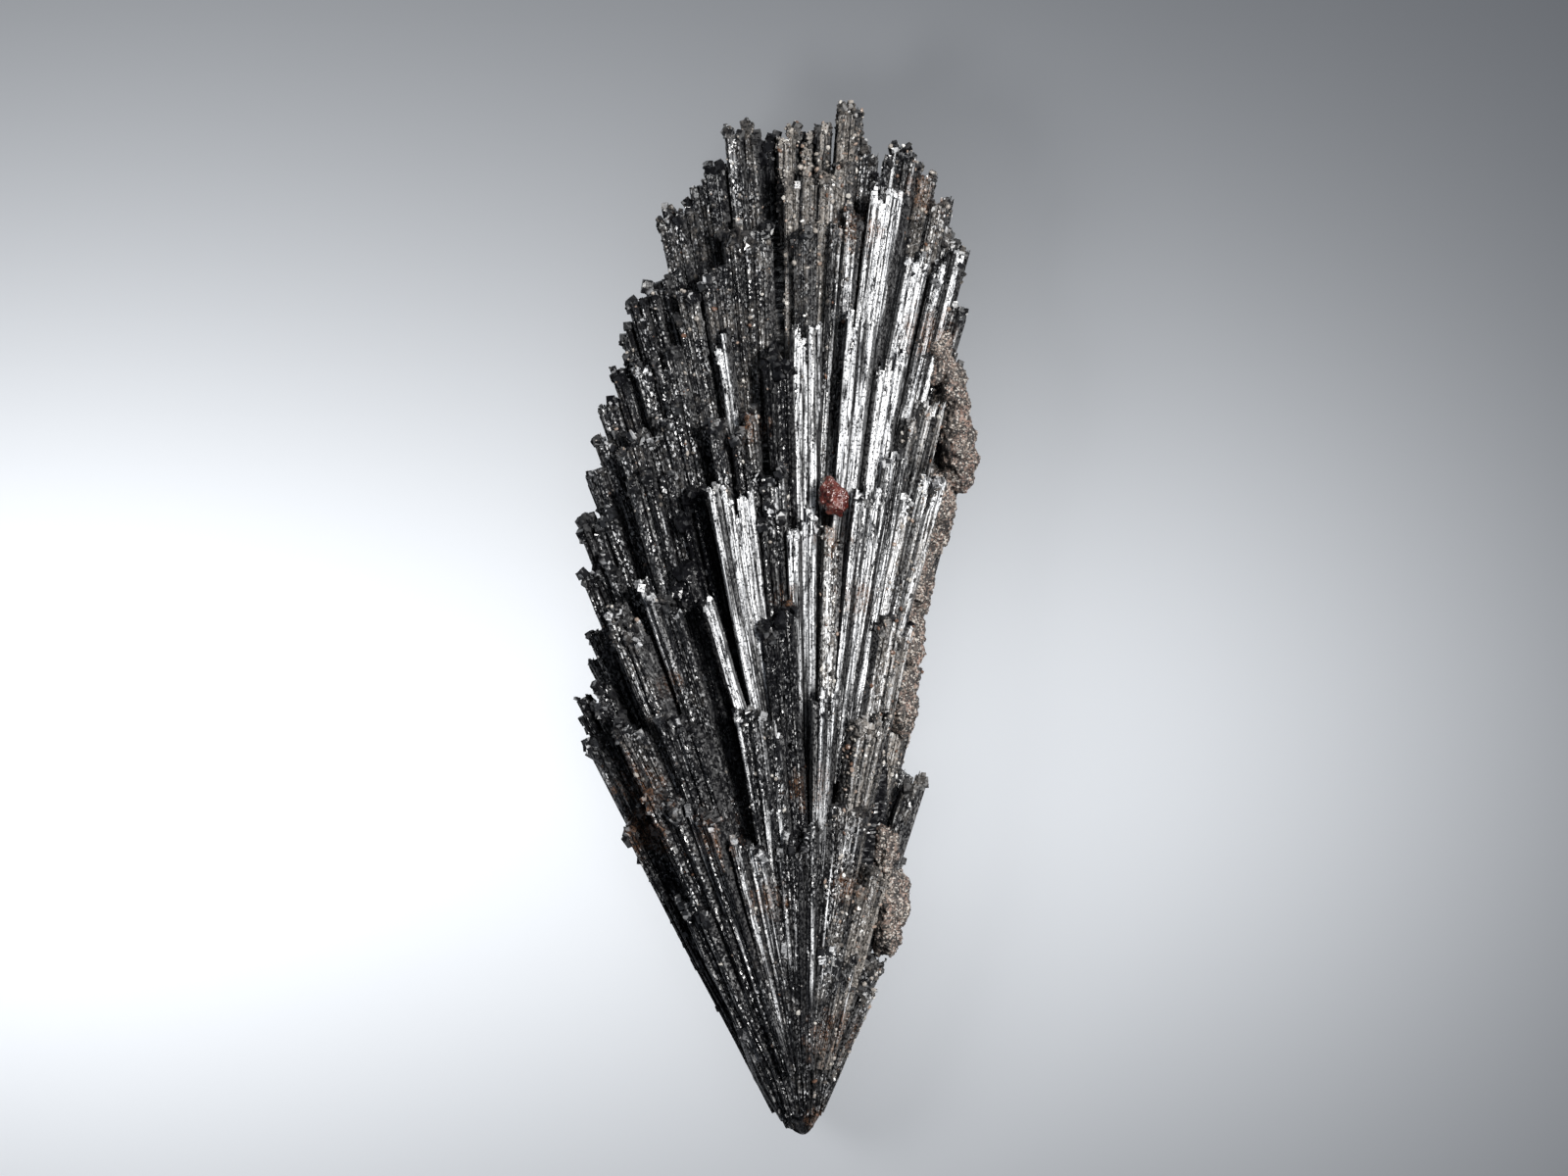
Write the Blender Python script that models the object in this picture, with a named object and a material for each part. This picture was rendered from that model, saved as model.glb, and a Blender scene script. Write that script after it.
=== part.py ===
"""Black kyanite fan: a spray of fused black blades that radiate from a blunt toe, lying on its back.

Run with: blender --background --python part.py

The fan points its toe at -Y and opens towards +Y, with its best face up. The origin is the middle of
its footprint on the surface that it rests on. Every row of blades below is written in millimetres
from the toe: x to the right, y towards the crown, z above the surface.
"""

import math
import random
from collections import namedtuple

import bmesh
import bpy
from mathutils import Matrix, Vector

MM = 0.001

# Driving sizes, in millimetres.
TOE_X = 3.36
TOE_Y = -55.08
GAP = 0.3
BACK_THICKNESS = 2.3

# How much one blade differs from the next in its row.
SEED = 7
END_RAGGED = 1.0
SIDE_STRAY = 0.25
LEVEL_STRAY = 0.45
ROLL_STRAY = math.radians(13)
SIZE_STRAY = 0.18
END_SLOPE = 0.9

# A sheaf is one row of blades. They share a root, and their tips run from left to right.
# spread is the row's width at the root, thick is a blade's thickness at its tip.
Sheaf = namedtuple("Sheaf", "name root left right spread thick count")

RIM = [
    Sheaf("left_skirt_low", (-1.6, 2.0, 6.0), (-13.4, 22.9, 8.0), (-10.8, 24.5, 9.0), 1.8, 2.2, 2),
    Sheaf("left_skirt_mid", (-2.4, 3.0, 6.0), (-20.4, 34.8, 8.5), (-17.0, 36.6, 9.5), 2.2, 2.4, 3),
    Sheaf("left_skirt_high", (-2.6, 4.0, 6.5), (-24.2, 43.2, 8.5), (-21.4, 44.4, 9.5), 2.0, 2.6, 2),
    Sheaf("left_shoulder", (-2.2, 6.0, 7.5), (-24.4, 47.0, 8.5), (-20.6, 48.8, 10.5), 2.4, 2.8, 3),
    Sheaf("left_hip", (-4.0, 14.0, 8.0), (-22.7, 53.8, 8.5), (-19.6, 55.4, 10.0), 2.4, 2.8, 2),
    Sheaf("left_fin", (-4.5, 16.0, 8.0), (-23.9, 60.8, 8.5), (-20.4, 63.2, 10.5), 2.6, 2.8, 3),
    Sheaf("left_fin_upper", (-4.8, 20.0, 8.0), (-24.2, 65.6, 8.5), (-20.8, 69.0, 10.0), 2.6, 2.8, 3),
    Sheaf("left_bank_edge", (-4.8, 26.0, 8.0), (-23.0, 71.6, 8.5), (-19.5, 77.0, 9.5), 2.6, 2.8, 3),
    Sheaf("left_step_1", (-4.5, 30.0, 8.5), (-21.9, 78.4, 8.5), (-18.5, 81.4, 9.5), 2.4, 2.6, 2),
    Sheaf("left_step_2", (-4.2, 34.0, 8.5), (-20.7, 83.2, 8.5), (-17.8, 84.6, 9.5), 2.4, 2.6, 2),
    Sheaf("left_step_3", (-4.0, 38.0, 8.5), (-19.7, 87.4, 8.5), (-16.7, 89.8, 9.5), 2.4, 2.6, 3),
    Sheaf("left_step_4", (-3.6, 42.0, 8.5), (-16.8, 91.0, 8.5), (-14.2, 92.4, 9.5), 2.0, 2.6, 2),
    Sheaf("crown_left_post", (-3.4, 44.0, 8.5), (-15.7, 98.4, 8.0), (-12.9, 98.8, 9.0), 2.0, 2.6, 2),
    Sheaf("crown_left_group", (-2.8, 46.0, 8.5), (-12.7, 101.0, 8.0), (-8.8, 103.4, 9.0), 2.4, 2.6, 3),
    Sheaf("crown_tall_blade", (-2.1, 48.0, 8.5), (-8.6, 108.6, 8.4), (-6.8, 108.8, 8.6), 1.0, 2.2, 1),
    Sheaf("crown_tall_second", (-1.7, 48.0, 8.0), (-6.6, 107.8, 8.0), (-5.2, 107.8, 8.2), 1.0, 2.0, 1),
    Sheaf("crown_dark_step", (-1.3, 48.0, 8.0), (-5.0, 106.2, 7.4), (-3.2, 106.4, 7.8), 1.2, 2.4, 1),
    Sheaf("crown_centre", (-0.4, 50.0, 8.5), (-3.0, 107.4, 8.0), (2.6, 108.3, 9.0), 2.4, 2.8, 4),
    Sheaf("crown_knob", (0.6, 50.0, 8.5), (3.4, 110.4, 8.6), (6.2, 109.5, 8.6), 1.6, 2.6, 2),
    Sheaf("crown_right_step", (1.2, 50.0, 8.5), (6.2, 105.8, 8.0), (9.2, 103.8, 8.5), 1.6, 2.4, 2),
    Sheaf("crown_right_post", (2.0, 48.0, 8.5), (9.7, 105.2, 8.0), (12.5, 104.8, 9.0), 1.8, 2.8, 2),
    Sheaf("crown_right_slope", (2.6, 47.0, 8.5), (12.6, 103.4, 8.0), (15.4, 100.3, 8.5), 1.8, 2.6, 2),
    Sheaf("right_top_steps", (3.2, 46.0, 8.5), (15.0, 98.4, 8.0), (17.5, 94.0, 8.5), 2.0, 2.6, 3),
    Sheaf("right_top_lower", (3.6, 44.0, 8.5), (14.6, 91.6, 8.0), (17.3, 88.6, 8.5), 1.8, 2.6, 2),
    Sheaf("right_mid_steps", (3.8, 40.0, 8.5), (14.2, 86.0, 8.0), (17.0, 83.4, 8.5), 1.8, 2.6, 2),
    Sheaf("right_upper_flank", (4.0, 36.0, 8.5), (13.2, 80.4, 8.0), (16.4, 76.8, 8.5), 2.0, 2.6, 2),
    Sheaf("right_flank", (4.2, 30.0, 8.5), (13.0, 71.6, 8.0), (16.6, 70.4, 9.0), 2.0, 2.6, 2),
    Sheaf("right_spur", (3.8, 24.0, 8.5), (10.6, 51.9, 8.5), (12.5, 52.4, 9.0), 1.4, 2.4, 1),
    Sheaf("right_waist", (3.6, 18.0, 8.5), (8.6, 47.0, 8.5), (11.6, 48.0, 9.0), 1.6, 2.6, 2),
    Sheaf("right_rod", (5.4, 18.0, 9.4), (11.0, 39.2, 10.2), (13.0, 39.4, 10.2), 1.2, 2.0, 1),
    Sheaf("right_heel", (2.2, 8.0, 8.0), (7.6, 29.6, 9.0), (10.2, 31.0, 9.0), 1.6, 2.6, 2),
    Sheaf("right_skirt", (1.0, 3.4, 7.0), (6.4, 19.6, 8.0), (8.8, 20.6, 8.5), 1.6, 2.4, 2),
]

FRONT_FAR = [
    Sheaf("crown_apron", (-0.6, 50.0, 11.5), (-2.2, 103.0, 12.0), (5.4, 104.6, 12.5), 2.4, 2.4, 4),
    Sheaf("upper_left_bank", (-3.2, 44.0, 11.5), (-13.8, 88.6, 12.0), (-8.4, 93.4, 13.0), 2.4, 2.4, 4),
    Sheaf("upper_left_ribs", (-2.6, 46.0, 11.5), (-8.8, 96.4, 12.0), (-3.8, 97.8, 12.5), 2.0, 2.2, 3),
    Sheaf("upper_centre_post", (0.0, 50.0, 13.0), (-1.3, 95.6, 13.8), (1.1, 96.2, 13.8), 1.0, 2.4, 1),
    Sheaf("upper_centre_ribs", (0.8, 50.0, 13.0), (2.8, 98.0, 14.0), (5.8, 97.2, 14.0), 1.4, 2.2, 2),
    Sheaf("bright_crest", (2.2, 50.0, 13.0), (7.0, 101.2, 12.8), (10.4, 98.8, 13.6), 1.8, 2.2, 3),
    Sheaf("upper_right_ribs", (3.0, 48.0, 12.5), (10.6, 93.4, 13.4), (13.4, 94.2, 12.8), 1.6, 2.2, 2),
    Sheaf("right_fan", (3.8, 46.0, 12.0), (13.2, 92.4, 12.2), (16.7, 93.8, 11.0), 1.8, 2.2, 3),
    Sheaf("left_bank", (-4.4, 32.0, 11.5), (-19.6, 73.2, 11.5), (-13.4, 79.8, 13.0), 3.0, 2.6, 5),
    Sheaf("left_bank_upper", (-4.0, 36.0, 11.5), (-18.2, 82.2, 11.5), (-13.4, 85.0, 12.5), 2.4, 2.4, 3),
]

FRONT_UPPER = [
    Sheaf("bright_slab", (2.0, 46.0, 14.8), (4.4, 87.4, 16.6), (7.6, 88.8, 16.4), 1.6, 2.0, 2),
    Sheaf("centre_ridge", (0.4, 46.0, 14.8), (-1.2, 87.0, 16.2), (1.8, 85.8, 16.4), 1.4, 2.0, 2),
    Sheaf("centre_short", (-0.8, 44.0, 14.5), (-4.4, 83.6, 15.0), (-1.6, 82.0, 15.4), 1.4, 2.2, 2),
    Sheaf("grey_block", (-2.6, 42.0, 13.5), (-9.4, 85.0, 14.2), (-7.8, 84.8, 14.6), 0.8, 2.0, 1),
    Sheaf("centre_left_tier", (-2.6, 40.0, 14.5), (-10.0, 76.4, 16.2), (-5.4, 77.0, 16.6), 2.0, 2.2, 3),
    Sheaf("centre_tier", (-1.6, 40.0, 15.0), (-6.4, 71.6, 17.2), (-2.0, 71.8, 17.6), 2.0, 2.2, 3),
    Sheaf("right_inner_tier", (3.2, 44.0, 14.5), (8.0, 84.0, 15.4), (10.8, 82.8, 14.8), 1.6, 2.2, 2),
    Sheaf("sandy_high", (4.4, 40.0, 13.5), (10.8, 77.4, 14.6), (14.8, 78.6, 12.8), 2.4, 2.2, 3),
    Sheaf("sandy_low", (4.2, 36.0, 14.0), (10.2, 70.2, 15.2), (14.6, 70.8, 13.2), 2.4, 2.2, 3),
    Sheaf("right_ribs", (3.6, 38.0, 15.0), (8.4, 73.6, 16.2), (11.0, 72.8, 15.8), 1.6, 2.2, 2),
    Sheaf("left_ribs", (-5.0, 28.0, 13.0), (-18.8, 70.0, 13.0), (-14.2, 71.6, 14.2), 2.4, 2.4, 3),
    Sheaf("left_ribs_inner", (-3.6, 30.0, 14.0), (-13.4, 68.0, 14.6), (-10.8, 68.6, 15.0), 1.8, 2.2, 2),
]

FRONT_MIDDLE = [
    Sheaf("bright_blade", (-3.0, 36.0, 16.2), (-10.4, 69.2, 19.4), (-8.0, 70.0, 19.6), 1.2, 1.8, 2),
    Sheaf("bright_second", (-2.6, 38.0, 16.2), (-7.6, 67.8, 19.2), (-5.4, 68.8, 19.4), 1.2, 1.8, 2),
    Sheaf("needle", (-3.8, 36.0, 16.4), (-11.4, 58.8, 19.8), (-10.4, 59.2, 19.8), 0.8, 1.2, 1),
    Sheaf("dark_centre", (-1.4, 38.0, 16.4), (-4.8, 66.8, 18.6), (-2.0, 68.0, 18.8), 1.4, 2.0, 2),
    Sheaf("bright_low", (0.2, 36.0, 16.4), (-1.6, 66.0, 19.2), (1.4, 67.6, 19.4), 1.4, 1.8, 3),
    Sheaf("garnet_seat", (1.6, 36.0, 16.0), (1.8, 66.0, 17.6), (4.4, 66.0, 17.6), 1.2, 2.0, 1),
    Sheaf("garnet_side", (2.8, 38.0, 16.0), (4.8, 68.4, 18.4), (7.8, 70.2, 18.0), 1.6, 2.0, 3),
    Sheaf("left_bundle", (-5.0, 20.0, 12.0), (-21.2, 57.6, 13.6), (-17.4, 54.6, 15.2), 2.6, 2.6, 4),
    Sheaf("left_bundle_inner", (-4.0, 24.0, 13.5), (-17.2, 59.4, 14.6), (-13.6, 58.4, 16.0), 2.2, 2.4, 3),
    Sheaf("left_gap_ribs", (-3.4, 26.0, 14.5), (-13.2, 61.6, 14.6), (-11.2, 57.0, 15.6), 1.6, 2.2, 2),
    Sheaf("right_sandy_ribs", (3.4, 24.0, 14.0), (7.6, 56.8, 16.4), (11.2, 54.8, 14.0), 2.0, 2.4, 3),
    Sheaf("centre_low_tier", (-0.4, 28.0, 17.0), (-4.6, 55.8, 18.8), (-1.4, 56.4, 19.2), 1.6, 2.0, 2),
]

FRONT_LOWER = [
    Sheaf("bright_heel", (1.2, 28.0, 17.6), (0.6, 48.8, 20.4), (3.6, 47.4, 20.2), 1.4, 1.8, 3),
    Sheaf("centre_low_left", (-1.6, 20.0, 16.0), (-7.4, 46.4, 19.0), (-2.8, 45.2, 20.0), 2.0, 2.2, 3),
    Sheaf("left_low_ribs", (-3.0, 14.0, 12.5), (-15.8, 47.0, 15.0), (-10.8, 45.0, 17.0), 2.4, 2.4, 3),
    Sheaf("left_low_outer", (-2.8, 10.0, 11.0), (-20.6, 45.6, 12.5), (-16.6, 44.2, 14.0), 2.4, 2.6, 3),
    Sheaf("right_low_ribs", (2.2, 20.0, 15.5), (5.4, 46.8, 18.4), (8.8, 45.4, 16.2), 1.6, 2.2, 3),
    Sheaf("cone_left_ledge", (-2.0, 8.0, 11.5), (-17.0, 38.6, 13.5), (-12.8, 36.4, 16.0), 2.2, 2.4, 3),
    Sheaf("cone_mid_left", (-1.5, 8.0, 13.0), (-12.6, 37.0, 16.2), (-8.6, 34.0, 18.0), 2.0, 2.2, 3),
    Sheaf("cone_mid", (-0.8, 8.0, 13.5), (-8.0, 33.4, 18.2), (-3.6, 31.8, 19.2), 1.8, 2.2, 3),
    Sheaf("cone_centre", (0.0, 8.0, 13.8), (-3.2, 33.6, 19.2), (1.2, 35.0, 19.6), 1.6, 2.2, 3),
    Sheaf("cone_right", (1.0, 10.0, 13.5), (2.2, 36.0, 19.0), (6.4, 37.8, 17.2), 1.8, 2.2, 3),
    Sheaf("cone_right_sandy", (1.6, 8.0, 12.0), (5.8, 30.6, 16.0), (8.8, 29.6, 13.4), 1.8, 2.4, 2),
]

TOE = [
    Sheaf("toe_left", (-1.6, 3.0, 9.0), (-13.8, 28.2, 11.5), (-10.0, 26.4, 14.2), 1.8, 2.2, 3),
    Sheaf("toe_mid_left", (-0.9, 3.0, 10.0), (-9.6, 27.0, 14.4), (-5.4, 24.6, 16.4), 1.6, 2.0, 3),
    Sheaf("toe_centre", (-0.1, 3.0, 10.5), (-4.6, 23.8, 16.4), (0.4, 22.8, 17.0), 1.4, 2.0, 3),
    Sheaf("toe_right", (0.8, 3.0, 10.0), (0.8, 22.6, 16.8), (5.4, 21.4, 14.6), 1.4, 2.0, 3),
    Sheaf("toe_right_edge", (0.9, 3.2, 8.5), (5.0, 18.6, 13.0), (7.2, 17.2, 10.8), 1.4, 2.0, 2),
    Sheaf("nose_left", (-1.2, 1.2, 7.6), (-7.2, 13.0, 10.4), (-3.6, 12.8, 12.4), 1.4, 1.8, 2),
    Sheaf("nose_right", (0.2, 1.2, 7.6), (-1.0, 12.6, 12.6), (3.8, 11.8, 11.2), 1.2, 1.8, 2),
]

# The back is laid by rule. Each point is (degrees from +Y, reach from the toe).
BACK_REACH = [(-27, 50), (-21, 66), (-16, 79), (-12, 90), (-8, 99), (0, 106), (6, 104)]
BACK_REACH += [(10, 93), (12, 79), (13, 73), (14, 46), (17, 39), (19, 28)]
# Each row is (share of that reach, level at the tip, level at the root, blades).
BACK_ROWS = [(0.97, 5.4, 4.8, 17), (0.8, 3.2, 3.4, 14), (0.62, 1.2, 2.2, 12), (0.4, 1.2, 1.6, 8)]
BACK_ROOT = Vector((0.16, 0.3))
BACK_WIDTH = 2.7

# The closed heart of the fan, as rings: y, left, right, bottom, top.
HEART_RINGS = [
    (0.2, -1.0, 0.6, 5.2, 8.2),
    (2.0, -2.8, 1.6, 3.4, 9.6),
    (6.0, -5.4, 3.2, 2.2, 11.6),
    (14.0, -8.4, 5.6, 1.7, 14.2),
    (24.0, -12.4, 7.8, 1.7, 15.4),
    (36.0, -16.2, 9.0, 1.8, 15.8),
    (50.0, -15.8, 9.2, 2.0, 15.2),
    (64.0, -15.2, 11.0, 2.4, 14.2),
    (78.0, -13.4, 11.6, 3.0, 12.4),
    (90.0, -9.6, 10.4, 4.2, 10.8),
    (97.0, -6.4, 8.0, 5.4, 9.4),
]
HEART_SIDES = 12

# The rock still stuck along the right edge: (x, y, z, half width, half length, half height).
UPPER_CRUST = [
    (14.0, 82.4, 9.8, 1.5, 3.0, 2.2),
    (15.6, 77.4, 9.2, 1.9, 4.0, 3.4),
    (16.2, 72.2, 9.4, 2.1, 4.0, 3.6),
    (13.9, 66.4, 9.0, 1.9, 4.4, 3.4),
    (12.0, 60.0, 9.8, 1.7, 4.6, 3.2),
    (10.9, 53.4, 9.4, 1.6, 4.6, 3.6),
    (10.2, 46.6, 9.8, 1.5, 4.4, 3.0),
]
LOWER_CRUST = [
    (8.4, 30.0, 9.6, 1.5, 3.2, 2.4),
    (9.2, 25.6, 9.0, 1.8, 3.6, 3.0),
    (8.6, 21.8, 9.2, 1.4, 2.8, 2.4),
]
CRUST_LUMP = 0.16

GARNET_AT = (2.9, 67.4, 18.3)
GARNET_SIZE = (3.1, 4.8, 3.4)
GARNET_TURN = (math.radians(12), math.radians(-9), math.radians(20))

FLOOR_BITE = 0.35


def place(x, y, z):
    """A point given in millimetres from the toe, as a point of the model in metres."""
    return Vector((x + TOE_X, y + TOE_Y, z)) * MM


def blade_of(root, tip, across, root_width, tip_width, thick, rng):
    """One blade of a row, with its own small differences from its neighbours."""
    along = (tip - root).normalized()
    stray = Vector((rng.uniform(-SIDE_STRAY, SIDE_STRAY), 0, rng.uniform(-LEVEL_STRAY, LEVEL_STRAY)))
    tip = tip + stray + along * rng.uniform(-END_RAGGED, 0.35 * END_RAGGED)
    return {
        "root": root,
        "tip": tip,
        "across": across,
        "root_width": root_width,
        "tip_width": tip_width * rng.uniform(1 - SIZE_STRAY, 1 + SIZE_STRAY),
        "thick": thick * rng.uniform(1 - SIZE_STRAY, 1 + SIZE_STRAY),
        "roll": rng.uniform(-ROLL_STRAY, ROLL_STRAY),
        "slope": rng.uniform(-END_SLOPE, END_SLOPE),
    }


def blades_of_sheaf(sheaf):
    """The blades of one row, from left to right."""
    rng = random.Random(f"{SEED} {sheaf.name}")
    root, left, right = Vector(sheaf.root), Vector(sheaf.left), Vector(sheaf.right)
    across = (right - left).normalized()
    pitch = (right - left).length / sheaf.count
    blades = []
    for i in range(sheaf.count):
        share = (i + 0.5) / sheaf.count
        start = root + across * sheaf.spread * (share - 0.5)
        end = left.lerp(right, share)
        root_width = 1.3 * sheaf.spread / sheaf.count
        blades.append(blade_of(start, end, across, root_width, 1.08 * pitch, sheaf.thick, rng))
    return blades


def back_reach(degrees):
    """How far the back's longest blades reach at this angle."""
    for (a, near), (b, far) in zip(BACK_REACH, BACK_REACH[1:]):
        if degrees <= b:
            return near + (far - near) * (degrees - a) / (b - a)
    return BACK_REACH[-1][1]


def blades_of_back():
    """Four rows of broad, flat blades that overlap like shingles, the shortest row lowest."""
    rng = random.Random(f"{SEED} back")
    first, last = BACK_REACH[0][0], BACK_REACH[-1][0]
    blades = []
    for share, tip_level, root_level, count in BACK_ROWS:
        for i in range(count):
            degrees = first + (last - first) * (i + rng.uniform(0.3, 0.7)) / count
            reach = share * back_reach(degrees) * rng.uniform(0.94, 1.0)
            angle = math.radians(degrees)
            tip = Vector((math.sin(angle) * reach, math.cos(angle) * reach, tip_level))
            root = Vector((tip.x * BACK_ROOT.x, tip.y * BACK_ROOT.y, root_level))
            blades.append(blade_of(root, tip, Vector((1, 0, 0)), 0.6 * BACK_WIDTH, BACK_WIDTH, BACK_THICKNESS, rng))
    return blades


def add_blade(bm, blade):
    """Adds a blade to bm: a cube drawn out into a tapering plank whose broken end slopes."""
    along = (blade["tip"] - blade["root"]).normalized()
    side = (blade["across"] - along * blade["across"].dot(along)).normalized()
    side = Matrix.Rotation(blade["roll"], 3, along) @ side
    face = side.cross(along)
    made = bmesh.ops.create_cube(bm, size=1)
    for vert in made["verts"]:
        x, y, z = vert.co
        at_tip = y > 0
        width = blade["tip_width"] if at_tip else blade["root_width"]
        thick = blade["thick"] if at_tip else 0.8 * blade["thick"]
        middle = blade["tip"] + along * blade["slope"] * x if at_tip else blade["root"]
        vert.co = place(*(middle + side * x * width + face * z * thick))


def new_object(name, bm, collection):
    """Turns bm into an object of that name, with its faces pointing out."""
    bmesh.ops.recalc_face_normals(bm, faces=bm.faces)
    mesh = bpy.data.meshes.new(name)
    bm.to_mesh(mesh)
    bm.free()
    obj = bpy.data.objects.new(name, mesh)
    collection.objects.link(obj)
    return obj


def as_cutter(obj):
    """Marks a helper that shapes another piece and is no piece itself."""
    obj.hide_render = True
    obj.display_type = "WIRE"
    return obj


def make_heart(collection):
    """The closed core that all blades grow from: rings of one count, bridged from toe to crown."""
    bm = bmesh.new()
    rings = []
    for y, left, right, bottom, top in HEART_RINGS:
        ring = []
        for i in range(HEART_SIDES):
            angle = 2 * math.pi * i / HEART_SIDES
            x = (left + right) / 2 + (right - left) / 2 * math.cos(angle)
            z = (bottom + top) / 2 + (top - bottom) / 2 * math.sin(angle)
            ring.append(bm.verts.new(place(x, y, z)))
        rings.append([bm.edges.new((ring[i - 1], ring[i])) for i in range(HEART_SIDES)])
    for near, far in zip(rings, rings[1:]):
        bmesh.ops.bridge_loops(bm, edges=near + far)
    bmesh.ops.holes_fill(bm, edges=rings[0] + rings[-1], sides=HEART_SIDES)
    return new_object("kyanite_fan", bm, collection)


def make_blades(blades, collection):
    """All blades in one mesh, as the operand of the union."""
    bm = bmesh.new()
    for blade in blades:
        add_blade(bm, blade)
    return as_cutter(new_object("blades", bm, collection))


def make_crust(name, lumps, collection, grow=0.0):
    """A knobbly strip of rock: overlapping lumps joined in one solid, larger all round by grow."""
    rng = random.Random(f"{SEED} {name}")
    bm = bmesh.new()
    for x, y, z, wide, long, high in lumps:
        made = bmesh.ops.create_icosphere(bm, subdivisions=2, radius=1)
        for vert in made["verts"]:
            swell = rng.uniform(1 - CRUST_LUMP, 1 + CRUST_LUMP)
            out = vert.co * swell
            vert.co = place(x + out.x * (wide + grow), y + out.y * (long + grow), z + out.z * (high + grow))
    label = name if not grow else name + "_socket"
    lumps_object = new_object(label + "_lumps", bm, collection)
    bm = bmesh.new()
    bm.from_mesh(joined(lumps_object))
    bpy.data.objects.remove(lumps_object)
    keep_largest(bm)
    return new_object(label, bm, collection)


def joined(obj):
    """The mesh of obj with its overlapping bodies made one."""
    seed = bmesh.new()
    middle = sum((vert.co for vert in obj.data.vertices), Vector()) / len(obj.data.vertices)
    bmesh.ops.create_icosphere(seed, subdivisions=1, radius=0.2 * MM, matrix=Matrix.Translation(middle))
    grain = new_object("grain", seed, obj.users_collection[0])
    union = grain.modifiers.new("join", "BOOLEAN")
    union.operation = "UNION"
    union.object = obj
    union.use_self = True
    mesh = evaluated_mesh(grain)
    bpy.data.objects.remove(grain)
    return mesh


def make_garnet(name, collection, grow=0.0):
    """A rhombic dodecahedron, the form a garnet crystal takes, drawn out a little and tilted."""
    corners = [(x, y, z) for x in (-1, 1) for y in (-1, 1) for z in (-1, 1)]
    for axis in range(3):
        for end in (-2, 2):
            corners.append(tuple(end if k == axis else 0 for k in range(3)))
    turn = Matrix.Rotation(GARNET_TURN[0], 3, "X") @ Matrix.Rotation(GARNET_TURN[1], 3, "Y")
    turn = turn @ Matrix.Rotation(GARNET_TURN[2], 3, "Z")
    bm = bmesh.new()
    for corner in corners:
        sized = Vector(c / 4 * (s + 2 * grow) for c, s in zip(corner, GARNET_SIZE))
        bm.verts.new(place(*(Vector(GARNET_AT) + turn @ sized)))
    bmesh.ops.convex_hull(bm, input=bm.verts)
    return new_object(name, bm, collection)


def make_floor_block(collection):
    """What lies under the resting plane: the lowest blades are worn flat against it."""
    side = 200
    bm = bmesh.new()
    bmesh.ops.create_cube(bm, size=side * MM, matrix=Matrix.Translation((0, 0, -side / 2 * MM)))
    return as_cutter(new_object("floor_block", bm, collection))


def evaluated_mesh(obj):
    graph = bpy.context.evaluated_depsgraph_get()
    return bpy.data.meshes.new_from_object(obj.evaluated_get(graph))


def keep_largest(bm):
    """Deletes every loose chip and sealed inner pocket, so that one body is left."""
    unseen = set(bm.verts)
    bodies = []
    while unseen:
        body, reached = set(), [unseen.pop()]
        while reached:
            vert = reached.pop()
            body.add(vert)
            near = {edge.other_vert(vert) for edge in vert.link_edges} & unseen
            unseen -= near
            reached.extend(near)
        bodies.append(body)
    largest = max(bodies, key=len)
    loose = [vert for body in bodies if body is not largest for vert in body]
    bmesh.ops.delete(bm, geom=loose, context="VERTS")


def add_boolean(obj, other, operation):
    modifier = obj.modifiers.new(other.name, "BOOLEAN")
    modifier.operation = operation
    modifier.object = other
    modifier.use_self = operation == "UNION"


def make_fan(parts, cutters, sockets):
    """Heart and blades joined in one solid, with a socket for each other mineral and a flat back."""
    blades = blades_of_back()
    for rows in (RIM, FRONT_FAR, FRONT_UPPER, FRONT_MIDDLE, FRONT_LOWER, TOE):
        for sheaf in rows:
            blades += blades_of_sheaf(sheaf)
    for blade in blades:
        for end in ("root", "tip"):
            blade[end] = blade[end] - Vector((0, 0, FLOOR_BITE))
    fan = make_heart(parts)
    add_boolean(fan, make_blades(blades, cutters), "UNION")
    add_boolean(fan, make_floor_block(cutters), "DIFFERENCE")
    for socket in sockets:
        add_boolean(fan, socket, "DIFFERENCE")
    bm = bmesh.new()
    bm.from_mesh(evaluated_mesh(fan))
    keep_largest(bm)
    bmesh.ops.dissolve_limit(bm, angle_limit=math.radians(0.5), verts=bm.verts, edges=bm.edges)
    bmesh.ops.triangulate(bm, faces=bm.faces)
    bmesh.ops.recalc_face_normals(bm, faces=bm.faces)
    fan.modifiers.clear()
    bm.to_mesh(fan.data)
    bm.free()
    return fan


def finish(obj, colour, roughness, metallic=0.0):
    """Gives a piece its own material, with the photo's colour."""
    material = bpy.data.materials.new(obj.name)
    material.use_nodes = True
    shader = material.node_tree.nodes["Principled BSDF"]
    shader.inputs["Base Color"].default_value = (*colour, 1)
    shader.inputs["Roughness"].default_value = roughness
    shader.inputs["Metallic"].default_value = metallic
    obj.data.materials.clear()
    obj.data.materials.append(material)


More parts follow.
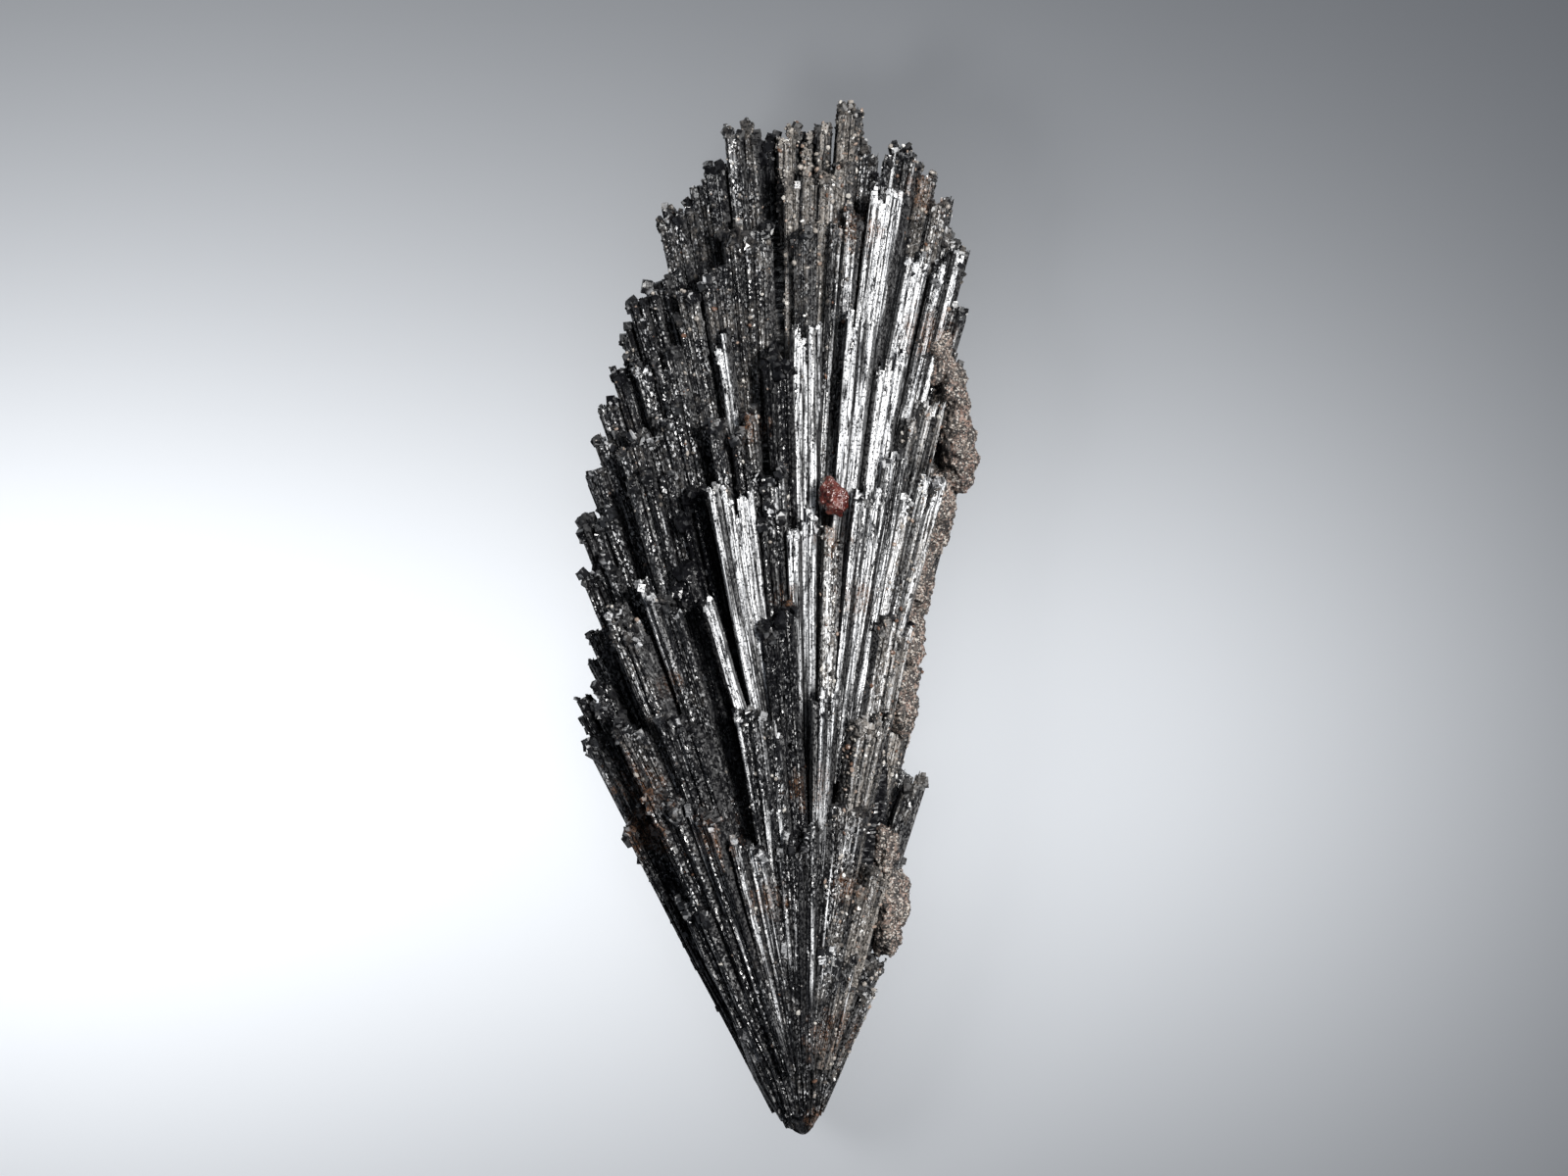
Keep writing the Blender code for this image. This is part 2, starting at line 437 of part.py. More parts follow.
def main():
    for obj in list(bpy.data.objects):
        bpy.data.objects.remove(obj)
    parts = bpy.data.collections.new("black_kyanite_fan")
    cutters = bpy.data.collections.new("cutters")
    for collection in (parts, cutters):
        bpy.context.scene.collection.children.link(collection)

    upper_crust = make_crust("matrix_crust_upper", UPPER_CRUST, parts)
    lower_crust = make_crust("matrix_crust_lower", LOWER_CRUST, parts)
    garnet = make_garnet("garnet", parts)
    sockets = [
        as_cutter(make_crust("matrix_crust_upper", UPPER_CRUST, cutters, GAP)),
        as_cutter(make_crust("matrix_crust_lower", LOWER_CRUST, cutters, GAP)),
        as_cutter(make_garnet("garnet_socket", cutters, GAP)),
    ]
    fan = make_fan(parts, cutters, sockets)

    finish(fan, (0.022, 0.022, 0.024), 0.32)
    finish(upper_crust, (0.30, 0.24, 0.20), 0.85)
    finish(lower_crust, (0.33, 0.27, 0.23), 0.85)
    finish(garnet, (0.16, 0.025, 0.018), 0.25)


main()
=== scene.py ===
"""Black kyanite fan: the splintered blades, the garnet and the host rock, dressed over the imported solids."""

import math
import random
from collections import namedtuple

import bmesh
import bpy
from bpy.props import FloatProperty, FloatVectorProperty, IntProperty, PointerProperty
from mathutils import Matrix, Vector


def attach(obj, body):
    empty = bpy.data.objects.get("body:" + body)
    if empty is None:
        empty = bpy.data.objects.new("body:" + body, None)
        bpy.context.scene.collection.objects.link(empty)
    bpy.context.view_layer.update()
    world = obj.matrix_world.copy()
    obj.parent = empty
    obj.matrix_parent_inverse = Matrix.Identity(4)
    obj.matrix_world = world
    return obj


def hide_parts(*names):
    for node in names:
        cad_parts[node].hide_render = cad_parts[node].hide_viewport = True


bl_info = {
    "name": "Black Kyanite Fan",
    "version": (1, 0, 0),
    "blender": (4, 5, 0),
    "location": "3D View > Sidebar > Kyanite",
    "description": "Builds the splintered blades, garnet and host rock of a black kyanite fan",
    "category": "Add Mesh",
}

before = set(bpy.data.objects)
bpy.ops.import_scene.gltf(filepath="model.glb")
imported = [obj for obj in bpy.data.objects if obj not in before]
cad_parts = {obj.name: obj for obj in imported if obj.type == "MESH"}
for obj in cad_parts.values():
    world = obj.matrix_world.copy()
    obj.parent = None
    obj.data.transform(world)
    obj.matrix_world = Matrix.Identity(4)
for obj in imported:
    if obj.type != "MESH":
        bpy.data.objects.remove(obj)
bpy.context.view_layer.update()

MM = 0.001
BODY = "root"

# Where the toe stands in the object's frame, and how blades differ from their row, in millimetres,
# radians and shares. A blade is up to END_RAGGED shorter, or longer by END_LONGER of that. All of them
# stand FLOOR_BITE lower than drawn, and what would reach below the floor is worn off.
TOE_X = 3.36
TOE_Y = -55.08
SEED = 7
END_RAGGED = 1.0
END_LONGER = 0.35
SIDE_STRAY = 0.25
LEVEL_STRAY = 0.45
ROLL_STRAY = math.radians(13)
SIZE_STRAY = 0.18
END_SLOPE = 0.9
FLOOR_BITE = 0.35
BACK_THICKNESS = 2.3

# Blades overlap: a blade is this much wider than its share of the row, at the root and at the tip.
ROOT_OVERLAP = 1.3
TIP_OVERLAP = 1.08

# Each blade is split lengthwise into strips. A strip ends up to STRIP_STEP millimetres before its
# blade does, and lies lower or higher by less than STRIP_DROP of half the blade's thickness.
STRIPS = 2
STRIP_STEP = 2.4
STRIP_DROP = 0.4

# The plank inside each strip: how much shorter it is, in millimetres, and its width and depth as
# shares of the strip's.
PLANK_SHORT = 0.2
PLANK_WIDTH = 0.9
PLANK_DEPTH = 0.86

# Each blade's upper face is between these shares as wide as its foot. At the root a blade has
# ROOT_DEPTH of its thickness. All fibres wander, by noise of WANDER millimetres.
NARROWEST = 0.74
WIDEST = 0.98
ROOT_DEPTH = 0.8
WANDER = 0.7
WANDER_SCALE = 95.0

# Splinters, ledges and chips: sides, rings, half width as a share of the blade's, how far out in the
# blade they lie, and the first of their random seeds.
LONG_SPLINTERS = {"sides": 5, "rings": 5, "girth": (0.085, 0.14), "proud": 0.9, "seed": 10}
LEDGES = {"sides": 5, "rings": 3, "girth": (0.1, 0.18), "proud": 0.96, "seed": 30}
CHIPS = {"sides": 4, "rings": 1, "girth": (0.06, 0.13), "proud": 0.98, "seed": 50}

# Where ledges end, where chips start and how long they are, as shares of the blade's length.
LEDGE_ENDS = (0.3, 0.97)
CHIP_STARTS = (0.25, 0.93)
CHIP_LENGTHS = (0.02, 0.09)

# Long splinters: a few end as much as SPLINTER_SHORT before the blade does, all of them a little
# ragged, and their ends are cut at a slant, in millimetres.
SPLINTER_SHORT = 4.0
SPLINTER_RAGGED = 0.5
SPLINTER_SLANT = 0.5

# Each ring of a splinter is SWELL_LEAST to SWELL_LEAST + SWELL_RANGE as thick as the splinter is said
# to be, and its end is thinner by END_TAPER.
SWELL_LEAST = 0.72
SWELL_RANGE = 0.5
END_TAPER = 0.1

# Crumbs and end blocks: the least and greatest distance from the blade's end and their sizes, in
# millimetres, how many widths long they can be, and the first of their random seeds.
CRUMBS = {"away": (0.0, 60.0), "sizes": (0.12, 0.5), "longest": 2.2, "seed": 60}
END_BLOCKS = {"away": (-0.1, 1.3), "sizes": (0.35, 1.0), "longest": 1.4, "seed": 80}

# The outer side of the section that crumbs lie on, in half turns, and how far they lean.
CRUMB_ARC = (-0.1, 1.1)
CRUMB_LEAN = 0.6

# Sand grains, in millimetres: their radii, and how far from the solids' skin they look for a blade.
# GRAIN_CLUMPS is the noise that gathers them, as its scale in cycles per metre and its detail.
GRAIN_SIZES = (0.09, 0.38)
GRAIN_RANGE = 1.6
GRAIN_CLUMPS = (420.0, 2.0)

# What is added to the seed for the back and for the grains.
BACK_SEED = 20
GRAIN_SEED = 40

# A sheaf is one row of blades, in millimetres from the toe. shine is how much painted highlight and
# painted glint its faces take, from -1 (none, the darkest) to 1, and dust how much sandy dirt clings to
# it, from 0 to 1. The rows below give a sheaf's fields in this order.
Sheaf = namedtuple("Sheaf", "name root left right spread thick count shine dust")

RIM = [
    ("left_skirt_low", (-1.6, 2.0, 6.0), (-13.4, 22.9, 8.0), (-10.8, 24.5, 9.0), 1.8, 2.2, 2, -0.3, 0.1),
    ("left_skirt_mid", (-2.4, 3.0, 6.0), (-20.4, 34.8, 8.5), (-17.0, 36.6, 9.5), 2.2, 2.4, 3, -0.2, 0.1),
    ("left_skirt_high", (-2.6, 4.0, 6.5), (-24.2, 43.2, 8.5), (-21.4, 44.4, 9.5), 2.0, 2.6, 2, 0.1, 0.1),
    ("left_shoulder", (-2.2, 6.0, 7.5), (-24.4, 47.0, 8.5), (-20.6, 48.8, 10.5), 2.4, 2.8, 3, 0.1, 0.1),
    ("left_hip", (-4.0, 14.0, 8.0), (-22.7, 53.8, 8.5), (-19.6, 55.4, 10.0), 2.4, 2.8, 2, 0.1, 0.1),
    ("left_fin", (-4.5, 16.0, 8.0), (-23.9, 60.8, 8.5), (-20.4, 63.2, 10.5), 2.6, 2.8, 3, 0.2, 0.2),
    ("left_fin_upper", (-4.8, 20.0, 8.0), (-24.2, 65.6, 8.5), (-20.8, 69.0, 10.0), 2.6, 2.8, 3, 0.1, 0.2),
    ("left_bank_edge", (-4.8, 26.0, 8.0), (-23.0, 71.6, 8.5), (-19.5, 77.0, 9.5), 2.6, 2.8, 3, 0.1, 0.3),
    ("left_step_1", (-4.5, 30.0, 8.5), (-21.9, 78.4, 8.5), (-18.5, 81.4, 9.5), 2.4, 2.6, 2, 0.1, 0.3),
    ("left_step_2", (-4.2, 34.0, 8.5), (-20.7, 83.2, 8.5), (-17.8, 84.6, 9.5), 2.4, 2.6, 2, 0.1, 0.3),
    ("left_step_3", (-4.0, 38.0, 8.5), (-19.7, 87.4, 8.5), (-16.7, 89.8, 9.5), 2.4, 2.6, 3, 0.1, 0.3),
    ("left_step_4", (-3.6, 42.0, 8.5), (-16.8, 91.0, 8.5), (-14.2, 92.4, 9.5), 2.0, 2.6, 2, -0.2, 0.3),
    ("crown_left_post", (-3.4, 44.0, 8.5), (-15.7, 98.4, 8.0), (-12.9, 98.8, 9.0), 2.0, 2.6, 2, 0.1, 0.4),
    ("crown_left_group", (-2.8, 46.0, 8.5), (-12.7, 101.0, 8.0), (-8.8, 103.4, 9.0), 2.4, 2.6, 3, 0.1, 0.4),
    ("crown_tall_blade", (-2.1, 48.0, 8.5), (-8.6, 108.6, 8.4), (-6.8, 108.8, 8.6), 1.0, 2.2, 1, 0.2, 0.4),
    ("crown_tall_second", (-1.7, 48.0, 8.0), (-6.6, 107.8, 8.0), (-5.2, 107.8, 8.2), 1.0, 2.0, 1, 0.1, 0.5),
    ("crown_dark_step", (-1.3, 48.0, 8.0), (-5.0, 106.2, 7.4), (-3.2, 106.4, 7.8), 1.2, 2.4, 1, -0.7, 0.2),
    ("crown_centre", (-0.4, 50.0, 8.5), (-3.0, 107.4, 8.0), (2.6, 108.3, 9.0), 2.4, 2.8, 4, 0.1, 0.9),
    ("crown_knob", (0.6, 50.0, 8.5), (3.4, 110.4, 8.6), (6.2, 109.5, 8.6), 1.6, 2.6, 2, 0.1, 0.8),
    ("crown_right_step", (1.2, 50.0, 8.5), (6.2, 105.8, 8.0), (9.2, 103.8, 8.5), 1.6, 2.4, 2, 0.1, 0.4),
    ("crown_right_post", (2.0, 48.0, 8.5), (9.7, 105.2, 8.0), (12.5, 104.8, 9.0), 1.8, 2.8, 2, 0.2, 0.5),
    ("crown_right_slope", (2.6, 47.0, 8.5), (12.6, 103.4, 8.0), (15.4, 100.3, 8.5), 1.8, 2.6, 2, 0.2, 0.6),
    ("right_top_steps", (3.2, 46.0, 8.5), (15.0, 98.4, 8.0), (17.5, 94.0, 8.5), 2.0, 2.6, 3, 0.3, 0.4),
    ("right_top_lower", (3.6, 44.0, 8.5), (14.6, 91.6, 8.0), (17.3, 88.6, 8.5), 1.8, 2.6, 2, 0.2, 0.3),
    ("right_mid_steps", (3.8, 40.0, 8.5), (14.2, 86.0, 8.0), (17.0, 83.4, 8.5), 1.8, 2.6, 2, 0.1, 0.3),
    ("right_upper_flank", (4.0, 36.0, 8.5), (13.2, 80.4, 8.0), (16.4, 76.8, 8.5), 2.0, 2.6, 2, 0.3, 0.6),
    ("right_flank", (4.2, 30.0, 8.5), (13.0, 71.6, 8.0), (16.6, 70.4, 9.0), 2.0, 2.6, 2, 0.4, 0.8),
    ("right_spur", (3.8, 24.0, 8.5), (10.6, 51.9, 8.5), (12.5, 52.4, 9.0), 1.4, 2.4, 1, 0.1, 0.9),
    ("right_waist", (3.6, 18.0, 8.5), (8.6, 47.0, 8.5), (11.6, 48.0, 9.0), 1.6, 2.6, 2, 0.1, 0.9),
    ("right_rod", (5.4, 18.0, 9.4), (11.0, 39.2, 10.2), (13.0, 39.4, 10.2), 1.2, 2.0, 1, 0.2, 0.6),
    ("right_heel", (2.2, 8.0, 8.0), (7.6, 29.6, 9.0), (10.2, 31.0, 9.0), 1.6, 2.6, 2, 0.1, 0.8),
    ("right_skirt", (1.0, 3.4, 7.0), (6.4, 19.6, 8.0), (8.8, 20.6, 8.5), 1.6, 2.4, 2, 0.1, 0.6),
]

FAR = [
    ("crown_apron", (-0.6, 50.0, 11.5), (-2.2, 103.0, 12.0), (5.4, 104.6, 12.5), 2.4, 2.4, 4, 0.2, 0.8),
    ("upper_left_bank", (-3.2, 44.0, 11.5), (-13.8, 88.6, 12.0), (-8.4, 93.4, 13.0), 2.4, 2.4, 4, -0.2, 0.4),
    ("upper_left_ribs", (-2.6, 46.0, 11.5), (-8.8, 96.4, 12.0), (-3.8, 97.8, 12.5), 2.0, 2.2, 3, -0.3, 0.4),
    ("upper_centre_post", (0.0, 50.0, 13.0), (-1.3, 95.6, 13.8), (1.1, 96.2, 13.8), 1.0, 2.4, 1, 0.3, 0.4),
    ("upper_centre_ribs", (0.8, 50.0, 13.0), (2.8, 98.0, 14.0), (5.8, 97.2, 14.0), 1.4, 2.2, 2, 0.4, 0.4),
    ("bright_crest", (2.2, 50.0, 13.0), (7.0, 101.2, 12.8), (10.4, 98.8, 13.6), 1.8, 2.2, 3, 0.9, 0.1),
    ("upper_right_ribs", (3.0, 48.0, 12.5), (10.6, 93.4, 13.4), (13.4, 94.2, 12.8), 1.6, 2.2, 2, 0.7, 0.1),
    ("right_fan", (3.8, 46.0, 12.0), (13.2, 92.4, 12.2), (16.7, 93.8, 11.0), 1.8, 2.2, 3, 0.5, 0.2),
    ("left_bank", (-4.4, 32.0, 11.5), (-19.6, 73.2, 11.5), (-13.4, 79.8, 13.0), 3.0, 2.6, 5, 0.1, 0.4),
    ("left_bank_upper", (-4.0, 36.0, 11.5), (-18.2, 82.2, 11.5), (-13.4, 85.0, 12.5), 2.4, 2.4, 3, 0.1, 0.4),
]

UPPER = [
    ("bright_slab", (2.0, 46.0, 14.8), (4.4, 87.4, 16.6), (7.6, 88.8, 16.4), 1.6, 2.0, 2, 1.0, 0.0),
    ("centre_ridge", (0.4, 46.0, 14.8), (-1.2, 87.0, 16.2), (1.8, 85.8, 16.4), 1.4, 2.0, 2, 0.8, 0.1),
    ("centre_short", (-0.8, 44.0, 14.5), (-4.4, 83.6, 15.0), (-1.6, 82.0, 15.4), 1.4, 2.2, 2, -0.5, 0.2),
    ("grey_block", (-2.6, 42.0, 13.5), (-9.4, 85.0, 14.2), (-7.8, 84.8, 14.6), 0.8, 2.0, 1, 0.6, 0.0),
    ("centre_left_tier", (-2.6, 40.0, 14.5), (-10.0, 76.4, 16.2), (-5.4, 77.0, 16.6), 2.0, 2.2, 3, -0.1, 0.4),
    ("centre_tier", (-1.6, 40.0, 15.0), (-6.4, 71.6, 17.2), (-2.0, 71.8, 17.6), 2.0, 2.2, 3, 0.3, 0.3),
    ("right_inner_tier", (3.2, 44.0, 14.5), (8.0, 84.0, 15.4), (10.8, 82.8, 14.8), 1.6, 2.2, 2, 0.9, 0.0),
    ("sandy_high", (4.4, 40.0, 13.5), (10.8, 77.4, 14.6), (14.8, 78.6, 12.8), 2.4, 2.2, 3, 0.55, 0.6),
    ("sandy_low", (4.2, 36.0, 14.0), (10.2, 70.2, 15.2), (14.6, 70.8, 13.2), 2.4, 2.2, 3, 0.6, 0.6),
    ("right_ribs", (3.6, 38.0, 15.0), (8.4, 73.6, 16.2), (11.0, 72.8, 15.8), 1.6, 2.2, 2, 0.6, 0.1),
    ("left_ribs", (-5.0, 28.0, 13.0), (-18.8, 70.0, 13.0), (-14.2, 71.6, 14.2), 2.4, 2.4, 3, 0.2, 0.3),
    ("left_ribs_inner", (-3.6, 30.0, 14.0), (-13.4, 68.0, 14.6), (-10.8, 68.6, 15.0), 1.8, 2.2, 2, -0.6, 0.1),
]

MIDDLE = [
    ("bright_blade", (-3.0, 36.0, 16.2), (-10.4, 69.2, 19.4), (-8.0, 70.0, 19.6), 1.2, 1.8, 2, 1.0, 0.0),
    ("bright_second", (-2.6, 38.0, 16.2), (-7.6, 67.8, 19.2), (-5.4, 68.8, 19.4), 1.2, 1.8, 2, 0.9, 0.0),
    ("needle", (-3.8, 36.0, 16.4), (-11.4, 58.8, 19.8), (-10.4, 59.2, 19.8), 0.8, 1.2, 1, 0.9, 0.0),
    ("dark_centre", (-1.4, 38.0, 16.4), (-4.8, 66.8, 18.6), (-2.0, 68.0, 18.8), 1.4, 2.0, 2, -0.2, 0.1),
    ("bright_low", (0.2, 36.0, 16.4), (-1.6, 66.0, 19.2), (1.4, 67.6, 19.4), 1.4, 1.8, 3, 0.9, 0.0),
    ("garnet_seat", (1.6, 36.0, 16.0), (1.8, 66.0, 17.6), (4.4, 66.0, 17.6), 1.2, 2.0, 1, 0.4, 0.5),
    ("garnet_side", (2.8, 38.0, 16.0), (4.8, 68.4, 18.4), (7.8, 70.2, 18.0), 1.6, 2.0, 3, 0.7, 0.0),
    ("left_bundle", (-5.0, 20.0, 12.0), (-21.2, 57.6, 13.6), (-17.4, 54.6, 15.2), 2.6, 2.6, 4, 0.3, 0.4),
    ("left_bundle_inner", (-4.0, 24.0, 13.5), (-17.2, 59.4, 14.6), (-13.6, 58.4, 16.0), 2.2, 2.4, 3, 0.3, 0.3),
    ("left_gap_ribs", (-3.4, 26.0, 14.5), (-13.2, 61.6, 14.6), (-11.2, 57.0, 15.6), 1.6, 2.2, 2, -0.7, 0.1),
    ("right_sandy_ribs", (3.4, 24.0, 14.0), (7.6, 56.8, 16.4), (11.2, 54.8, 14.0), 2.0, 2.4, 3, 0.45, 0.7),
    ("centre_low_tier", (-0.4, 28.0, 17.0), (-4.6, 55.8, 18.8), (-1.4, 56.4, 19.2), 1.6, 2.0, 2, -0.3, 0.2),
]

LOWER = [
    ("bright_heel", (1.2, 28.0, 17.6), (0.6, 48.8, 20.4), (3.6, 47.4, 20.2), 1.4, 1.8, 3, 0.8, 0.2),
    ("centre_low_left", (-1.6, 20.0, 16.0), (-7.4, 46.4, 19.0), (-2.8, 45.2, 20.0), 2.0, 2.2, 3, 0.3, 0.3),
    ("left_low_ribs", (-3.0, 14.0, 12.5), (-15.8, 47.0, 15.0), (-10.8, 45.0, 17.0), 2.4, 2.4, 3, 0.2, 0.2),
    ("left_low_outer", (-2.8, 10.0, 11.0), (-20.6, 45.6, 12.5), (-16.6, 44.2, 14.0), 2.4, 2.6, 3, 0.1, 0.3),
    ("right_low_ribs", (2.2, 20.0, 15.5), (5.4, 46.8, 18.4), (8.8, 45.4, 16.2), 1.6, 2.2, 3, 0.35, 0.7),
    ("cone_left_ledge", (-2.0, 8.0, 11.5), (-17.0, 38.6, 13.5), (-12.8, 36.4, 16.0), 2.2, 2.4, 3, 0.1, 0.3),
    ("cone_mid_left", (-1.5, 8.0, 13.0), (-12.6, 37.0, 16.2), (-8.6, 34.0, 18.0), 2.0, 2.2, 3, 0.3, 0.2),
    ("cone_mid", (-0.8, 8.0, 13.5), (-8.0, 33.4, 18.2), (-3.6, 31.8, 19.2), 1.8, 2.2, 3, 0.4, 0.3),
    ("cone_centre", (0.0, 8.0, 13.8), (-3.2, 33.6, 19.2), (1.2, 35.0, 19.6), 1.6, 2.2, 3, 0.3, 0.2),
    ("cone_right", (1.0, 10.0, 13.5), (2.2, 36.0, 19.0), (6.4, 37.8, 17.2), 1.8, 2.2, 3, 0.3, 0.4),
    ("cone_right_sandy", (1.6, 8.0, 12.0), (5.8, 30.6, 16.0), (8.8, 29.6, 13.4), 1.8, 2.4, 2, 0.2, 0.8),
]

TOE = [
    ("toe_left", (-1.6, 3.0, 9.0), (-13.8, 28.2, 11.5), (-10.0, 26.4, 14.2), 1.8, 2.2, 3, 0.1, 0.1),
    ("toe_mid_left", (-0.9, 3.0, 10.0), (-9.6, 27.0, 14.4), (-5.4, 24.6, 16.4), 1.6, 2.0, 3, 0.3, 0.1),
    ("toe_centre", (-0.1, 3.0, 10.5), (-4.6, 23.8, 16.4), (0.4, 22.8, 17.0), 1.4, 2.0, 3, 0.3, 0.3),
    ("toe_right", (0.8, 3.0, 10.0), (0.8, 22.6, 16.8), (5.4, 21.4, 14.6), 1.4, 2.0, 3, 0.3, 0.4),
    ("toe_right_edge", (0.9, 3.2, 8.5), (5.0, 18.6, 13.0), (7.2, 17.2, 10.8), 1.4, 2.0, 2, 0.2, 0.5),
    ("nose_left", (-1.2, 1.2, 7.6), (-7.2, 13.0, 10.4), (-3.6, 12.8, 12.4), 1.4, 1.8, 2, 0.3, 0.1),
    ("nose_right", (0.2, 1.2, 7.6), (-1.0, 12.6, 12.6), (3.8, 11.8, 11.2), 1.2, 1.8, 2, 0.3, 0.4),
]

# The back, by rule: (degrees from +Y, reach), and rows of (share of it, tip level, root level, blades).
BACK_REACH = [(-27, 50), (-21, 66), (-16, 79), (-12, 90), (-8, 99), (0, 106), (6, 104)]
BACK_REACH += [(10, 93), (12, 79), (13, 73), (14, 46), (17, 39), (19, 28)]
BACK_ROWS = [(0.97, 5.4, 4.8, 17), (0.8, 3.2, 3.4, 14), (0.62, 1.2, 2.2, 12), (0.4, 1.2, 1.6, 8)]
BACK_ROOT = Vector((0.16, 0.3))
BACK_WIDTH = 2.7
BACK_ROOT_WIDTH = 0.6 * BACK_WIDTH
BACK_SHINE = 0.2
BACK_DUST = 0.3

# The closed heart under the blades, as rings: y, left, right, bottom, top.
HEART_RINGS = [
    (0.2, -0.5, 0.2, 6.2, 7.4),
    (0.5, -1.1, 0.6, 5.2, 8.2),
    (2.0, -2.8, 1.6, 3.4, 9.6),
    (6.0, -5.4, 3.2, 2.2, 11.6),
    (14.0, -8.4, 5.6, 1.7, 14.2),
    (24.0, -12.4, 7.8, 1.7, 15.4),
    (36.0, -16.2, 9.0, 1.8, 15.8),
    (50.0, -15.8, 9.2, 2.0, 15.2),
    (64.0, -15.2, 11.0, 2.4, 14.2),
    (78.0, -13.4, 11.6, 3.0, 12.4),
    (90.0, -9.6, 10.4, 4.2, 10.8),
    (97.0, -6.4, 8.0, 5.4, 9.4),
]
HEART_SIDES = 80
HEART_STEPS = 9
HEART_GROOVES = 0.45
HEART_DEEPEST = 0.4
HEART_SHINE = -0.4
HEART_DUST = 0.3

# Rust and tan patches: x, y from the toe and radius, in millimetres.
RUST_PATCHES = [
    (2.9, 63.6, 1.6), (-17.1, 37.3, 2.6), (-9.3, 32.1, 2.2), (-3.6, 25.9, 1.6), (4.7, 26.9, 1.5),
    (3.1, 11.4, 2.4), (-2.1, 57.5, 1.2), (5.2, 57.2, 1.6), (0.8, 37.8, 1.8), (5.7, 95.6, 2.0),
    (13.0, 84.6, 2.2), (12.2, 99.6, 1.8), (-16.4, 32.2, 2.0), (1.4, 2.1, 1.2), (-5.1, 74.6, 1.3),
    (-14.4, 48.2, 1.2),
]


def place(x, y, z):
    """A point given in millimetres from the toe, as a point of the object in metres."""
    return Vector((x + TOE_X, y + TOE_Y, z)) * MM


# The blades' places, drawn as the solids draw them.


def blade_of(root, tip, across, root_width, tip_width, thick, shine, dust, rng):
    """One blade of a row, with its own small differences from its neighbours."""
    along = (tip - root).normalized()
    stray = Vector((rng.uniform(-SIDE_STRAY, SIDE_STRAY), 0, rng.uniform(-LEVEL_STRAY, LEVEL_STRAY)))
    tip = tip + stray + along * rng.uniform(-END_RAGGED, END_LONGER * END_RAGGED)
    blade = {
        "root": root,
        "tip": tip,
        "root_width": root_width,
        "tip_width": tip_width * rng.uniform(1 - SIZE_STRAY, 1 + SIZE_STRAY),
        "thick": thick * rng.uniform(1 - SIZE_STRAY, 1 + SIZE_STRAY),
    }
    roll = rng.uniform(-ROLL_STRAY, ROLL_STRAY)
    # The solids draw the slope of the blade's end here. The scene only keeps the order of the draws.
    rng.uniform(-END_SLOPE, END_SLOPE)
    along = (tip - root).normalized()
    side = Matrix.Rotation(roll, 3, along) @ (across - along * across.dot(along)).normalized()
    blade["side"] = side
    blade["face"] = side.cross(along)
    blade["shine"] = shine
    blade["dust"] = dust
    return blade


def blades_of_sheaf(sheaf):
    """The blades of one row, from left to right."""
    rng = random.Random(f"{SEED} {sheaf.name}")
    root, left, right = Vector(sheaf.root), Vector(sheaf.left), Vector(sheaf.right)
    across = (right - left).normalized()
    pitch = (right - left).length / sheaf.count
    blades = []
    for i in range(sheaf.count):
        share = (i + 0.5) / sheaf.count
        start = root + across * sheaf.spread * (share - 0.5)
        end = left.lerp(right, share)
        widths = (ROOT_OVERLAP * sheaf.spread / sheaf.count, TIP_OVERLAP * pitch, sheaf.thick)
        blades.append(blade_of(start, end, across, *widths, sheaf.shine, sheaf.dust, rng))
    return blades


def blades_of_rows(rows):
    """The blades of several rows."""
    return [blade for row in rows for blade in blades_of_sheaf(Sheaf(*row))]


def back_reach(degrees):
    """How far the back's longest blades reach at this angle."""
    for (a, near), (b, far) in zip(BACK_REACH, BACK_REACH[1:]):
        if degrees <= b:
            return near + (far - near) * (degrees - a) / (b - a)
    return BACK_REACH[-1][1]


def blades_of_back():
    """Four rows of broad, flat blades that overlap like shingles, the shortest row lowest."""
    rng = random.Random(f"{SEED} back")
    first, last = BACK_REACH[0][0], BACK_REACH[-1][0]
    blades = []
    for share, tip_level, root_level, count in BACK_ROWS:
        for i in range(count):
            degrees = first + (last - first) * (i + rng.uniform(0.3, 0.7)) / count
            reach = share * back_reach(degrees) * rng.uniform(0.94, 1.0)
            angle = math.radians(degrees)
            tip = Vector((math.sin(angle) * reach, math.cos(angle) * reach, tip_level))
            root = Vector((tip.x * BACK_ROOT.x, tip.y * BACK_ROOT.y, root_level))
            widths = (BACK_ROOT_WIDTH, BACK_WIDTH, BACK_THICKNESS)
            blades.append(blade_of(root, tip, Vector((1, 0, 0)), *widths, BACK_SHINE, BACK_DUST, rng))
    return blades


